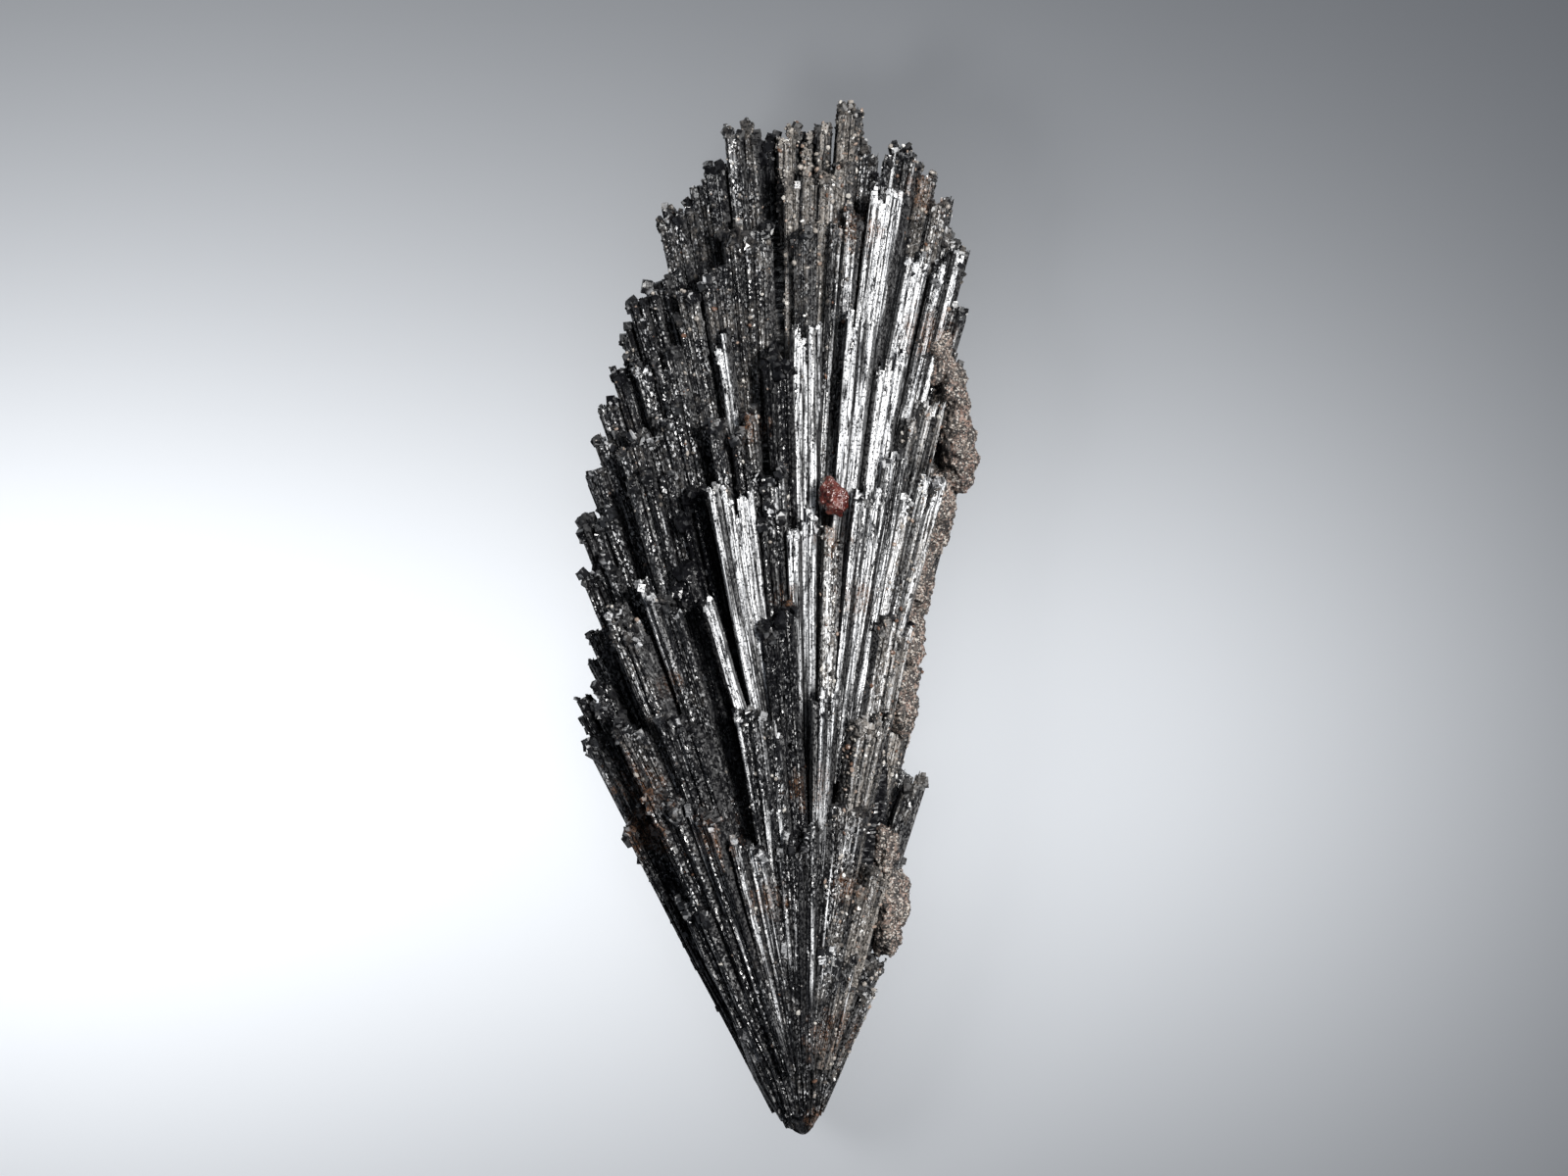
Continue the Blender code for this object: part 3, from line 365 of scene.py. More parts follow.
class Graph:
    """Adds nodes to a tree. A value is a number, a colour or the socket of an earlier node."""

    def __init__(self, tree):
        self.tree = tree

    def node(self, kind, values=None, **settings):
        node = self.tree.nodes.new(kind)
        for name, value in settings.items():
            setattr(node, name, value)
        for key, value in (values or {}).items():
            self.feed(node.inputs[key], value)
        return node

    def feed(self, socket, value):
        if isinstance(value, bpy.types.NodeSocket):
            self.tree.links.new(value, socket)
        else:
            socket.default_value = value

    def math(self, operation, *values):
        node = self.node("ShaderNodeMath", operation=operation)
        for socket, value in zip(node.inputs, values):
            self.feed(socket, value)
        return node.outputs[0]

    def plus(self, first, second):
        return self.math("ADD", first, second)

    def minus(self, first, second):
        return self.math("SUBTRACT", first, second)

    def times(self, first, second):
        return self.math("MULTIPLY", first, second)

    def vector(self, operation, *values, out=0):
        node = self.node("ShaderNodeVectorMath", operation=operation)
        for key, value in zip((0, 1), values):
            self.feed(node.inputs[key], value)
        return node.outputs[out]

    def scaled(self, vector, factor):
        node = self.node("ShaderNodeVectorMath", operation="SCALE")
        self.feed(node.inputs[0], vector)
        self.feed(node.inputs["Scale"], factor)
        return node.outputs[0]

    def split(self, vector):
        return self.node("ShaderNodeSeparateXYZ", {0: vector}).outputs

    def join(self, x, y, z):
        return self.node("ShaderNodeCombineXYZ", {0: x, 1: y, 2: z}).outputs[0]

    def band(self, value, low, high, to_low=0.0, to_high=1.0):
        """value from low to high becomes to_low to to_high, clamped."""
        values = {"Value": value, "From Min": low, "From Max": high, "To Min": to_low, "To Max": to_high}
        return self.node("ShaderNodeMapRange", values).outputs[0]


class GeometryGraph(Graph):
    """A Geometry Nodes tree with the given inputs, which keeps named values on its points."""

    def __init__(self, name, inputs):
        tree = bpy.data.node_groups.new(name, "GeometryNodeTree")
        super().__init__(tree)
        tree.interface.new_socket("Geometry", in_out="INPUT", socket_type="NodeSocketGeometry")
        for label, kind, value in inputs:
            socket = tree.interface.new_socket(label, in_out="INPUT", socket_type="NodeSocket" + kind)
            if value is not None:
                socket.default_value = value
        tree.interface.new_socket("Geometry", in_out="OUTPUT", socket_type="NodeSocketGeometry")
        self.inputs = tree.nodes.new("NodeGroupInput").outputs

    def store(self, geometry, name, value, kind="FLOAT_VECTOR"):
        node = self.node("GeometryNodeStoreNamedAttribute", data_type=kind, domain="POINT")
        node.inputs["Name"].default_value = name
        self.feed(node.inputs["Geometry"], geometry)
        self.feed(node.inputs["Value"], value)
        return node.outputs[0]

    def named(self, name):
        node = self.node("GeometryNodeInputNamedAttribute", {"Name": name}, data_type="FLOAT_VECTOR")
        return node.outputs[0]

    def position(self):
        return self.node("GeometryNodeInputPosition").outputs[0]

    def length(self):
        """How long the blade is that a point belongs to."""
        return self.vector("LENGTH", self.named("reach"), out=1)

    def chance(self, low, high, seed):
        """A random number for each element."""
        node = self.node("FunctionNodeRandomValue", data_type="FLOAT")
        numbers = [socket for socket in node.inputs if socket.type == "VALUE"]
        for socket, value in zip(numbers, (low, high)):
            self.feed(socket, value)
        shift = self.node("FunctionNodeIntegerMath", {0: self.inputs["Seed"], 1: seed}, operation="ADD")
        self.feed(node.inputs["Seed"], shift.outputs[0])
        return node.outputs[1]

    def copies(self, geometry, count):
        """count copies of each point, and the number that each copy has."""
        values = {"Geometry": geometry, "Amount": count}
        node = self.node("GeometryNodeDuplicateElements", values, domain="POINT")
        return node.outputs[0], node.outputs["Duplicate Index"]

    def moved(self, geometry, spot):
        return self.node("GeometryNodeSetPosition", {"Geometry": geometry, "Position": spot}).outputs[0]

    def realized(self, geometry):
        return self.node("GeometryNodeRealizeInstances", {0: geometry}).outputs[0]

    def solids(self, points, solid, **values):
        """solid on each point, as mesh. Each takes the named values of its point."""
        values = {"Points": points, "Instance": solid, **values}
        return self.realized(self.node("GeometryNodeInstanceOnPoints", values).outputs[0])

    def cube(self):
        return self.node("GeometryNodeMeshCube", {"Size": (1, 1, 1)}).outputs[0]

    def finish(self, geometry):
        """Gives the mesh its material and ends the tree."""
        values = {"Geometry": geometry, "Material": self.inputs["Material"]}
        out = self.node("NodeGroupOutput")
        self.feed(out.inputs[0], self.node("GeometryNodeSetMaterial", values).outputs[0])
        return self.tree


def from_middle(g, colour):
    """A noise colour, from 0 to 1 in each channel, as a vector from -0.5 to 0.5."""
    return g.vector("SUBTRACT", colour, (0.5, 0.5, 0.5))


def lay_on_blades(g, geometry, share, across, high):
    """Moves each point to its share of the way along its blade, at across and high in its section."""
    root_width, tip_width, thick = g.split(g.named("girths"))
    taper = g.minus(tip_width, root_width)
    width = g.plus(root_width, g.times(taper, share))
    own = g.math("FRACT", g.times(g.split(g.named("looks"))[2], 7.3))
    shoulder = g.band(own, 0.0, 1.0, NARROWEST, WIDEST)
    shoulder = g.plus(1.0, g.times(g.minus(shoulder, 1.0), g.band(high, -0.3, 0.3)))
    edge = g.math("ABSOLUTE", across)
    across = g.times(across, shoulder)
    depth = g.times(thick, g.plus(ROOT_DEPTH, g.times(share, 1 - ROOT_DEPTH)))
    place_along = g.scaled(g.named("reach"), share)
    place_across = g.scaled(g.named("side"), g.times(across, width))
    place_high = g.scaled(g.named("face"), g.times(high, depth))
    spot = g.vector("ADD", g.named("root"), place_along)
    spot = g.vector("ADD", spot, g.vector("ADD", place_across, place_high))
    values = {"Vector": spot, "Scale": WANDER_SCALE, "Detail": 3.0}
    bend = g.node("ShaderNodeTexNoise", values).outputs["Color"]
    spot = g.vector("ADD", spot, g.scaled(from_middle(g, bend), WANDER * MM))
    streak = g.join(g.times(across, width), g.times(share, g.length()), high)
    geometry = g.store(geometry, "streak", streak)
    geometry = g.store(geometry, "share", share, "FLOAT")
    geometry = g.store(geometry, "edge", edge, "FLOAT")
    return g.moved(geometry, spot)


def round_the_section(g, turn):
    """A point on a blade's rounded square section, from an angle."""
    spot = []
    for name in ("COSINE", "SINE"):
        wave = g.math(name, turn)
        spot.append(g.times(g.math("SIGN", wave), g.math("POWER", g.math("ABSOLUTE", wave), 0.5)))
    return spot


def strip_step(g, across):
    """How much shorter and lower than its blade the strip at across (-1 to 1) is, as shares."""
    strip = g.math("FLOOR", g.times(g.plus(across, 1.0), 0.5 * STRIPS - 0.001))
    own = g.times(g.split(g.named("looks"))[2], 613.0)
    step = g.node("ShaderNodeTexWhiteNoise", {"Vector": g.join(own, strip, 0.0)}, noise_dimensions="2D")
    shorter, lower, _ = g.split(step.outputs["Color"])
    shorter = g.math("DIVIDE", g.times(shorter, STRIP_STEP * MM), g.length())
    return shorter, g.times(g.minus(0.7, lower), STRIP_DROP)


def splinters(g, geometry, count, start, end, sides, rings, girth, proud, seed):
    """count splinters round each blade, from start to end, as shares of the blade's length."""
    points, number = g.copies(geometry, count)
    turn = g.math("DIVIDE", g.plus(number, g.chance(-0.4, 0.4, seed)), count)
    x, y = round_the_section(g, g.times(turn, 2 * math.pi))
    shorter, lower = strip_step(g, x)
    end = g.minus(end, shorter)
    y = g.minus(y, lower)
    slot = g.join(g.times(x, proud), g.times(y, proud), g.chance(-0.5, 0.5, seed + 1))
    points = g.store(points, "slot", slot)
    slant = g.math("DIVIDE", g.times(g.chance(-1.0, 1.0, seed + 4), SPLINTER_SLANT * MM), g.length())
    points = g.store(points, "span", g.join(start, end, slant))
    points = g.store(points, "make", g.join(g.chance(*girth, seed + 5), g.chance(0, 1, seed + 6), 0.0))
    shape = {"Vertices": sides, "Side Segments": rings, "Radius": 1.0, "Depth": 1.0}
    prism = g.node("GeometryNodeMeshCylinder", shape).outputs[0]
    made = g.solids(g.moved(points, (0, 0, 0)), prism)

    px, py, pz = g.split(g.position())
    rise = g.plus(pz, 0.5)
    ring = g.math("ROUND", g.times(rise, rings))
    slot_x, slot_y, roll = g.split(g.named("slot"))
    begin, stop, slant = g.split(g.named("span"))
    size, own, _ = g.split(g.named("make"))
    values = {"Vector": g.join(ring, g.times(own, 977.0), 0.0)}
    swell = g.node("ShaderNodeTexWhiteNoise", values, noise_dimensions="2D").outputs["Value"]
    swell = g.plus(SWELL_LEAST, g.times(swell, SWELL_RANGE))
    at_end = g.math("GREATER_THAN", rise, 0.99)
    swell = g.times(swell, g.minus(1.0, g.times(at_end, END_TAPER)))
    size = g.times(size, swell)
    cos, sin = g.math("COSINE", roll), g.math("SINE", roll)
    cx = g.minus(g.times(px, cos), g.times(py, sin))
    cy = g.plus(g.times(px, sin), g.times(py, cos))
    share = g.plus(begin, g.times(rise, g.minus(stop, begin)))
    cut = g.times(g.times(slant, at_end), cx)
    share = g.plus(share, cut)
    across = g.plus(g.times(slot_x, 0.5), g.times(cx, size))
    high = g.plus(g.times(slot_y, 0.5), g.times(cy, size))
    made = g.store(made, "own", own, "FLOAT")
    return lay_on_blades(g, made, share, across, high)


def planks(g, geometry):
    """The plain middle of each strip of a blade, which the splinters hide."""
    points, number = g.copies(geometry, STRIPS)
    x = g.minus(g.times(g.plus(number, 0.5), 2 / STRIPS), 1.0)
    shorter, lower = strip_step(g, x)
    stop = g.minus(1.0, g.plus(shorter, g.math("DIVIDE", PLANK_SHORT * MM, g.length())))
    points = g.store(points, "slot", g.join(x, lower, stop))
    made = g.solids(g.moved(points, (0, 0, 0)), g.cube())
    px, py, pz = g.split(g.position())
    x, lower, stop = g.split(g.named("slot"))
    share = g.times(g.plus(pz, 0.5), stop)
    across = g.plus(g.times(x, PLANK_WIDTH / 2), g.times(px, PLANK_WIDTH / STRIPS))
    high = g.minus(g.times(py, PLANK_DEPTH), g.times(lower, 0.5))
    return lay_on_blades(g, made, share, across, high)


def crumbs(g, geometry, count, away, sizes, longest, seed):
    """count angular crumbs on the outer side of each blade, between two distances away from its end."""
    points, _ = g.copies(geometry, count)
    smallest, largest = (size * MM for size in sizes)
    x, y = round_the_section(g, g.chance(*(turn * math.pi for turn in CRUMB_ARC), seed))
    shorter, lower = strip_step(g, x)
    back_off = g.math("DIVIDE", g.chance(*(distance * MM for distance in away), seed + 1), g.length())
    share = g.minus(1.0, g.plus(back_off, shorter))
    share = g.math("MAXIMUM", share, g.chance(0.0, 0.95, seed + 2))
    high = g.minus(g.times(y, 0.46), g.times(lower, 0.5))
    high = g.times(high, g.inputs["Outer Side"])
    spots = lay_on_blades(g, points, share, g.times(x, 0.44), high)
    spots = g.store(spots, "own", g.chance(0, 1, seed + 3), "FLOAT")
    shine = g.split(g.named("looks"))[0]
    size = g.math("POWER", g.chance(0, 1, seed + 4), 1.6)
    size = g.plus(smallest, g.times(size, largest - smallest))
    size = g.times(size, g.minus(1.0, g.times(shine, 0.6)))
    scale = g.scaled(g.join(1.0, g.chance(0.5, 1.0, seed + 5), g.chance(0.7, longest, seed + 6)), size)
    lean = g.join(*(g.chance(-CRUMB_LEAN, CRUMB_LEAN, seed + number) for number in (7, 8, 9)))
    aim = g.vector("ADD", g.vector("NORMALIZE", g.named("reach")), lean)
    turn = g.node("FunctionNodeAlignRotationToVector", {"Vector": aim}, axis="Z").outputs[0]
    return g.solids(spots, g.cube(), Rotation=turn, Scale=scale)


def splinter_tree():
    """Blade points in, and out come their planks, splinters, ledges, chips, crumbs and broken ends."""
    inputs = [
        ("Splinters", "Int", 20),
        ("Ledges", "Int", 8),
        ("Chips", "Int", 14),
        ("Crumbs", "Int", 38),
        ("End Blocks", "Int", 15),
        ("Outer Side", "Float", 1.0),
        ("Seed", "Int", 1),
        ("Material", "Material", None),
    ]
    g = GeometryGraph("Kyanite Splinters", inputs)
    blades = g.inputs["Geometry"]
    short_of = g.times(g.math("POWER", g.chance(0.0, 1.0, 3), 4.0), SPLINTER_SHORT * MM)
    short_of = g.plus(short_of, g.chance(0.0, SPLINTER_RAGGED * MM, 4))
    full_end = g.minus(1.0, g.math("DIVIDE", short_of, g.length()))
    long_ones = splinters(g, blades, g.inputs["Splinters"], 0.0, full_end, **LONG_SPLINTERS)
    ledges = splinters(g, blades, g.inputs["Ledges"], 0.0, g.chance(*LEDGE_ENDS, 21), **LEDGES)
    chip_start = g.chance(*CHIP_STARTS, 41)
    chip_end = g.plus(chip_start, g.chance(*CHIP_LENGTHS, 42))
    chips = splinters(g, blades, g.inputs["Chips"], chip_start, chip_end, **CHIPS)
    joined = g.node("GeometryNodeJoinGeometry")
    rough = crumbs(g, blades, g.inputs["Crumbs"], **CRUMBS)
    ends = crumbs(g, blades, g.inputs["End Blocks"], **END_BLOCKS)
    for branch in (planks(g, blades), long_ones, ledges, chips, rough, ends):
        g.feed(joined.inputs[0], branch)
    return g.finish(g.realized(joined.outputs[0]))


def grain_tree():
    """The solids' skin in, and out come sand grains and mica on the dusty parts of the blades over it."""
    inputs = [
        ("Blades", "Collection", None),
        ("Density", "Float", 1.0),
        ("Smallest", "Float", 0.1 * MM),
        ("Largest", "Float", 0.3 * MM),
        ("Seed", "Int", 1),
        ("Material", "Material", None),
    ]
    g = GeometryGraph("Sand Grains", inputs)
    values = {"Mesh": g.inputs["Geometry"], "Density": g.inputs["Density"]}
    points = g.node("GeometryNodeDistributePointsOnFaces", values)
    g.feed(points.inputs["Seed"], g.inputs["Seed"])
    normal = points.outputs["Normal"]
    blades = g.realized(g.node("GeometryNodeCollectionInfo", {"Collection": g.inputs["Blades"]}).outputs[0])
    ahead = g.vector("ADD", g.position(), g.scaled(normal, GRAIN_RANGE * MM))
    values = {"Target Geometry": blades, "Attribute": g.named("looks"), "Source Position": ahead}
    values |= {"Ray Direction": g.scaled(normal, -1.0), "Ray Length": 2 * GRAIN_RANGE * MM}
    ray = g.node("GeometryNodeRaycast", values, data_type="FLOAT_VECTOR")
    spot, looks = ray.outputs["Hit Position"], ray.outputs["Attribute"]
    clumps = noise(g, spot, *GRAIN_CLUMPS)
    amount = g.plus(g.split(looks)[1], g.times(clumps, 1.1))
    amount = g.math("POWER", g.band(amount, 0.75, 1.6), 1.6)
    keep = g.math("LESS_THAN", g.chance(0, 1, 4), amount)
    keep = g.times(keep, ray.outputs["Is Hit"])
    loose = g.math("LESS_THAN", keep, 0.5)
    spots = g.store(points.outputs["Points"], "spot", spot)
    spots = g.store(spots, "tint", g.chance(0, 1, 5), "FLOAT")
    spots = g.node("GeometryNodeDeleteGeometry", {"Geometry": spots, "Selection": loose}).outputs[0]
    spots = g.moved(spots, g.named("spot"))
    grain = g.node("GeometryNodeMeshIcoSphere", {"Radius": 1.0, "Subdivisions": 1}).outputs[0]
    turn = g.join(*(g.chance(0, 6.28, number) for number in (6, 7, 8)))
    spread = g.minus(g.inputs["Largest"], g.inputs["Smallest"])
    size = g.plus(g.inputs["Smallest"], g.times(spread, g.math("POWER", g.chance(0, 1, 9), 2.2)))
    scale = g.scaled(g.join(1.0, g.chance(0.5, 1.0, 10), g.chance(0.35, 0.9, 11)), size)
    return g.finish(g.solids(spots, grain, Rotation=turn, Scale=scale))


def get_tree(name, maker):
    return bpy.data.node_groups.get(name) or maker()


def set_inputs(modifier, values):
    """Sets a modifier's inputs by their sockets' identifiers."""
    for item in modifier.node_group.interface.items_tree:
        if item.item_type == "SOCKET" and item.in_out == "INPUT" and item.name in values:
            modifier[item.identifier] = values[item.name]


def as_plain_mesh(name, source):
    """What source's modifiers make of it, as a new object with a plain mesh. source is removed."""
    graph = bpy.context.evaluated_depsgraph_get()
    mesh = bpy.data.meshes.new_from_object(source.evaluated_get(graph))
    bpy.data.objects.remove(source)
    mesh.name = name
    piece = bpy.data.objects.new(name, mesh)
    bpy.context.scene.collection.objects.link(piece)
    return piece


def blade_points(name, blades):
    """One point for each blade, with its place, size and looks as named values."""
    mesh = bpy.data.meshes.new(name)
    mesh.from_pydata([(0, 0, 0)] * len(blades), [], [])
    columns = {"root": [], "reach": [], "side": [], "face": [], "girths": [], "looks": []}
    rng = random.Random(f"{SEED} {name}")
    bite = Vector((0, 0, FLOOR_BITE))
    for blade in blades:
        root, tip = place(*(blade["root"] - bite)), place(*(blade["tip"] - bite))
        columns["root"].append(root)
        columns["reach"].append(tip - root)
        columns["side"].append(blade["side"])
        columns["face"].append(blade["face"])
        girths = (blade["root_width"], blade["tip_width"], blade["thick"])
        columns["girths"].append(Vector(girths) * MM)
        columns["looks"].append((blade["shine"], blade["dust"], rng.random()))
    for column, values in columns.items():
        attribute = mesh.attributes.new(column, "FLOAT_VECTOR", "POINT")
        attribute.data.foreach_set("vector", [number for value in values for number in value])
    source = bpy.data.objects.new(name + "_points", mesh)
    bpy.context.scene.collection.objects.link(source)
    return source


def make_blades(name, blades, tree, material, shape, seed, outer_side=1.0):
    """The splintered blades of one group of rows, as one mesh."""
    source = blade_points(name, blades)
    modifier = source.modifiers.new("splinters", "NODES")
    modifier.node_group = tree
    values = {"Splinters": shape.splinters, "Ledges": shape.ledges, "Chips": shape.chips}
    values |= {"Crumbs": shape.crumbs, "End Blocks": shape.end_blocks}
    values |= {"Outer Side": outer_side, "Seed": shape.seed + seed, "Material": material}
    set_inputs(modifier, values)
    piece = as_plain_mesh(name, source)
    for column in ("root", "reach", "side", "face", "girths", "slot", "span", "make"):
        attribute = piece.data.attributes.get(column)
        if attribute:
            piece.data.attributes.remove(attribute)
    lift_to_floor(piece.data)
    return piece


def make_grains(name, skin, hosts, material, density, seed):
    """Grains that lie on the hosts' dusty parts, as one mesh. skin is the solid under them."""
    blades = bpy.data.collections.new(name + "_hosts")
    for host in hosts:
        blades.objects.link(host)
    source = copy_of_node(name, skin)
    modifier = source.modifiers.new("grains", "NODES")
    modifier.node_group = get_tree("Sand Grains", grain_tree)
    smallest, largest = (size * MM for size in GRAIN_SIZES)
    values = {"Blades": blades, "Density": density, "Smallest": smallest, "Largest": largest}
    set_inputs(modifier, {**values, "Seed": seed, "Material": material})
    piece = as_plain_mesh(name, source)
    bpy.data.collections.remove(blades)
    lift_to_floor(piece.data)
    return piece


def lift_to_floor(mesh):
    """Wears off what would reach below the surface that the fan lies on."""
    for vert in mesh.vertices:
        vert.co.z = max(vert.co.z, 0.0)


# Materials. Noise is said as its scale in cycles per metre, its detail and its roughness, and what is
# stretched along a blade as its cycles per metre across and along it. FACET_TILT is how far the small
# facets of the broken faces lean from the face.
GLITTER = (4200.0, 2.0, 0.6)
MOTTLE = (900.0, 3.0, 0.6)
CLUMPS = (330.0, 3.0, 0.6)
BROAD = (120.0, 3.0, 0.6)
GROOVES = (4600.0, 330.0)
FACETS = (4300.0, 2500.0)
STRANDS = (1500.0, 60.0)
FACET_TILT = 1.1

KYANITE_IOR = 1.72
GARNET_IOR = 1.8

ROCK_PINK = (0.2, 0.13, 0.105)
ROCK_BANDS = (0.035, 0.033, 0.032)
ROCK_MICA = (0.36, 0.33, 0.3)
ROCK_SPECKS = (0.02, 0.018, 0.017)
GARNET_PALE = (0.13, 0.026, 0.016)
GARNET_CRUST = (0.1, 0.065, 0.05)

# Where each grain colour starts, for tints from 0 to 1. None is the sand's own colour.
GRAIN_COLOURS = [
    (0.0, (0.018, 0.017, 0.016)),
    (0.3, (0.075, 0.066, 0.058)),
    (0.5, None),
    (0.72, (0.24, 0.18, 0.145)),
    (0.82, (0.11, 0.06, 0.04)),
    (0.88, (0.42, 0.40, 0.37)),
    (0.97, (0.7, 0.69, 0.67)),
]


def new_material(name):
    material = bpy.data.materials.new(name)
    material.use_nodes = True
    material.node_tree.nodes.clear()
    g = Graph(material.node_tree)
    shader = g.node("ShaderNodeBsdfPrincipled")
    out = g.node("ShaderNodeOutputMaterial")
    g.feed(out.inputs["Surface"], shader.outputs[0])
    return material, g, shader


def noise(g, vector, scale, detail, roughness=0.5):
    values = {"Vector": vector, "Scale": scale, "Detail": detail, "Roughness": roughness}
    return g.node("ShaderNodeTexNoise", values).outputs[0]


def object_point(g):
    return g.node("ShaderNodeTexCoord").outputs["Object"]


def stored(g, name, kind="Fac"):
    """A named value of the mesh: kind is Fac for a number and Vector for a vector."""
    return g.node("ShaderNodeAttribute", attribute_name=name).outputs[kind]


def stretched(g, across, along, scales, layer):
    """A point for noise that is stretched along the blade. layer keeps blades apart."""
    return g.join(g.times(across, scales[0]), g.times(along, scales[1]), layer)


def blend_colours(g, share, first, second):
    """From first to second, by share. A colour is the socket of an earlier node, or three numbers."""
    node = g.node("ShaderNodeMix", {0: share}, data_type="RGBA")
    for key, colour in ((6, first), (7, second)):
        g.feed(node.inputs[key], colour if isinstance(colour, bpy.types.NodeSocket) else (*colour, 1))
    return node.outputs[2]


def bumped(g, height, distance, strength, under=None):
    values = {"Height": height, "Distance": distance, "Strength": strength}
    if under is not None:
        values["Normal"] = under
    return g.node("ShaderNodeBump", values).outputs[0]


def patches(g, spots, point, ragged):
    """1 inside any of the spots, seen from above, with ragged edges."""
    total = None
    x, y, _ = g.split(point)
    flat = g.join(x, y, 0.0)
    for sx, sy, radius in spots:
        centre = place(sx, sy, 0)
        away = g.vector("DISTANCE", flat, (centre.x, centre.y, 0.0), out=1)
        away = g.plus(g.math("DIVIDE", away, radius * MM), ragged)
        inside = g.band(away, 1.3, 0.6)
        total = inside if total is None else g.math("MAXIMUM", total, inside)
    return total


def kyanite_material(look):
    """Near black, glassy, grooved along the blade, painted silver highlights on shiny faces, sandy where
    dusty.
    """
    material, g, shader = new_material("kyanite_finish")
    point = object_point(g)
    own, edge, share = stored(g, "own"), stored(g, "edge"), stored(g, "share")
    shine, dust, seed = g.split(stored(g, "looks", "Vector"))
    across, along, high = g.split(stored(g, "streak", "Vector"))
    layer = g.plus(g.times(seed, 40.0), g.times(own, 13.0))
    grooves = stretched(g, g.plus(across, g.times(high, 0.002)), along, GROOVES, layer)
    grooves = noise(g, grooves, 1.0, 4.0, 0.6)
    glitter = noise(g, point, *GLITTER)
    mottle = noise(g, point, *MOTTLE)
    broad = noise(g, point, *BROAD)
    clumps = noise(g, point, *CLUMPS)
    layer = g.plus(g.times(high, 5.0), g.plus(g.times(seed, 40.0), own))
    facets = g.vector("ADD", stretched(g, across, along, FACETS, layer), g.scaled(point, 1800.0))
    facets = g.node("ShaderNodeTexVoronoi", {"Vector": facets, "Scale": 1.0}).outputs["Color"]
    pick = g.split(facets)[2]
    layer = g.plus(g.times(seed, 70.0), g.times(high, 0.6))
    strands = g.minus(noise(g, stretched(g, across, along, STRANDS, layer), 1.0, 3.0, 0.55), 0.5)

    # Painted shade: the blades' edges, dark cracks between the fibres and the middle of each section, where
    # the gaps between blades fall, are painted near black.
    deep = g.plus(g.band(edge, 0.36, 0.47), g.band(strands, -0.02, -0.12))
    deep = g.math("MAXIMUM", deep, g.band(g.math("ABSOLUTE", high), 0.3, 0.1))
    own_grey = g.math("FRACT", g.times(seed, 31.7))
    lively = g.times(g.band(own_grey, 0.0, 1.0, 0.3, 1.0), g.band(shine, -0.6, 0.0, 0.1, 1.0))
    ridges = g.times(g.band(grooves, 0.35, 0.75), lively)
    colour = blend_colours(g, ridges, look.black_colour, look.grey_colour)
    # Painted highlight: silver streaks along the shiny blades, where their faces would catch the light, fading
    # towards the root.
    bright = g.times(g.band(grooves, 0.43, 0.52), g.band(glitter, 0.36, 0.48))
    bright = g.times(bright, g.band(g.plus(shine, g.times(strands, 2.2)), 0.42, 0.7))
    fades = g.band(g.plus(share, strands), 0.15, 0.4)
    colour = blend_colours(g, g.times(bright, fades), colour, look.painted_highlight_colour)
    # Painted glints: silver on a few clumped facets of the lively blades, where they would catch the light.
    painted_glint = g.times(g.math("GREATER_THAN", pick, 0.84), g.band(clumps, 0.42, 0.62, 0.0, 0.75))
    painted_glint = g.times(painted_glint, lively)
    colour = blend_colours(g, painted_glint, colour, look.painted_highlight_colour)
    cling = g.plus(g.times(dust, 0.62), g.times(mottle, 0.55))
    cling = g.plus(cling, g.times(g.minus(broad, 0.5), 0.7))
    sandy = g.times(g.band(cling, 0.52, 0.82), g.band(glitter, 0.34, 0.54))
    colour = blend_colours(g, g.times(sandy, 0.75), colour, look.sand_colour)
    ragged = g.times(g.minus(mottle, 0.5), 4.0)
    rusty = g.times(patches(g, RUST_PATCHES, point, ragged), g.band(glitter, 0.42, 0.56, 0.0, 0.6))
    colour = blend_colours(g, rusty, colour, look.rust_colour)
    # The painted shade of the gaps and cracks goes over every other colour.
    colour = blend_colours(g, g.times(deep, 0.92), colour, look.black_colour)
    g.feed(shader.inputs["Base Color"], colour)
    rough = g.plus(look.gloss, g.times(glitter, 0.15))
    rough = g.plus(rough, g.times(g.math("MAXIMUM", sandy, rusty), 0.4))
    rough = g.plus(rough, g.times(deep, 0.3))
    g.feed(shader.inputs["Roughness"], rough)
    shader.inputs["IOR"].default_value = KYANITE_IOR
    facing = g.times(g.band(g.split(facets)[1], 0.4, 0.6, 0.08, 0.75), g.band(lively, 0.0, 0.6, 0.3, 1.0))
    g.feed(shader.inputs["Specular IOR Level"], facing)
    under = bumped(g, grooves, 0.00012, 0.6)
    under = bumped(g, glitter, 0.00008, 0.4, under)
    lean = g.band(shine, 0.2, 1.0, FACET_TILT, 0.35 * FACET_TILT)
    lean = g.times(lean, g.band(clumps, 0.35, 0.6, 0.35, 1.0))
    tilt = g.scaled(from_middle(g, facets), lean)
    g.feed(shader.inputs["Normal"], g.vector("NORMALIZE", g.vector("ADD", under, tilt)))
    return material


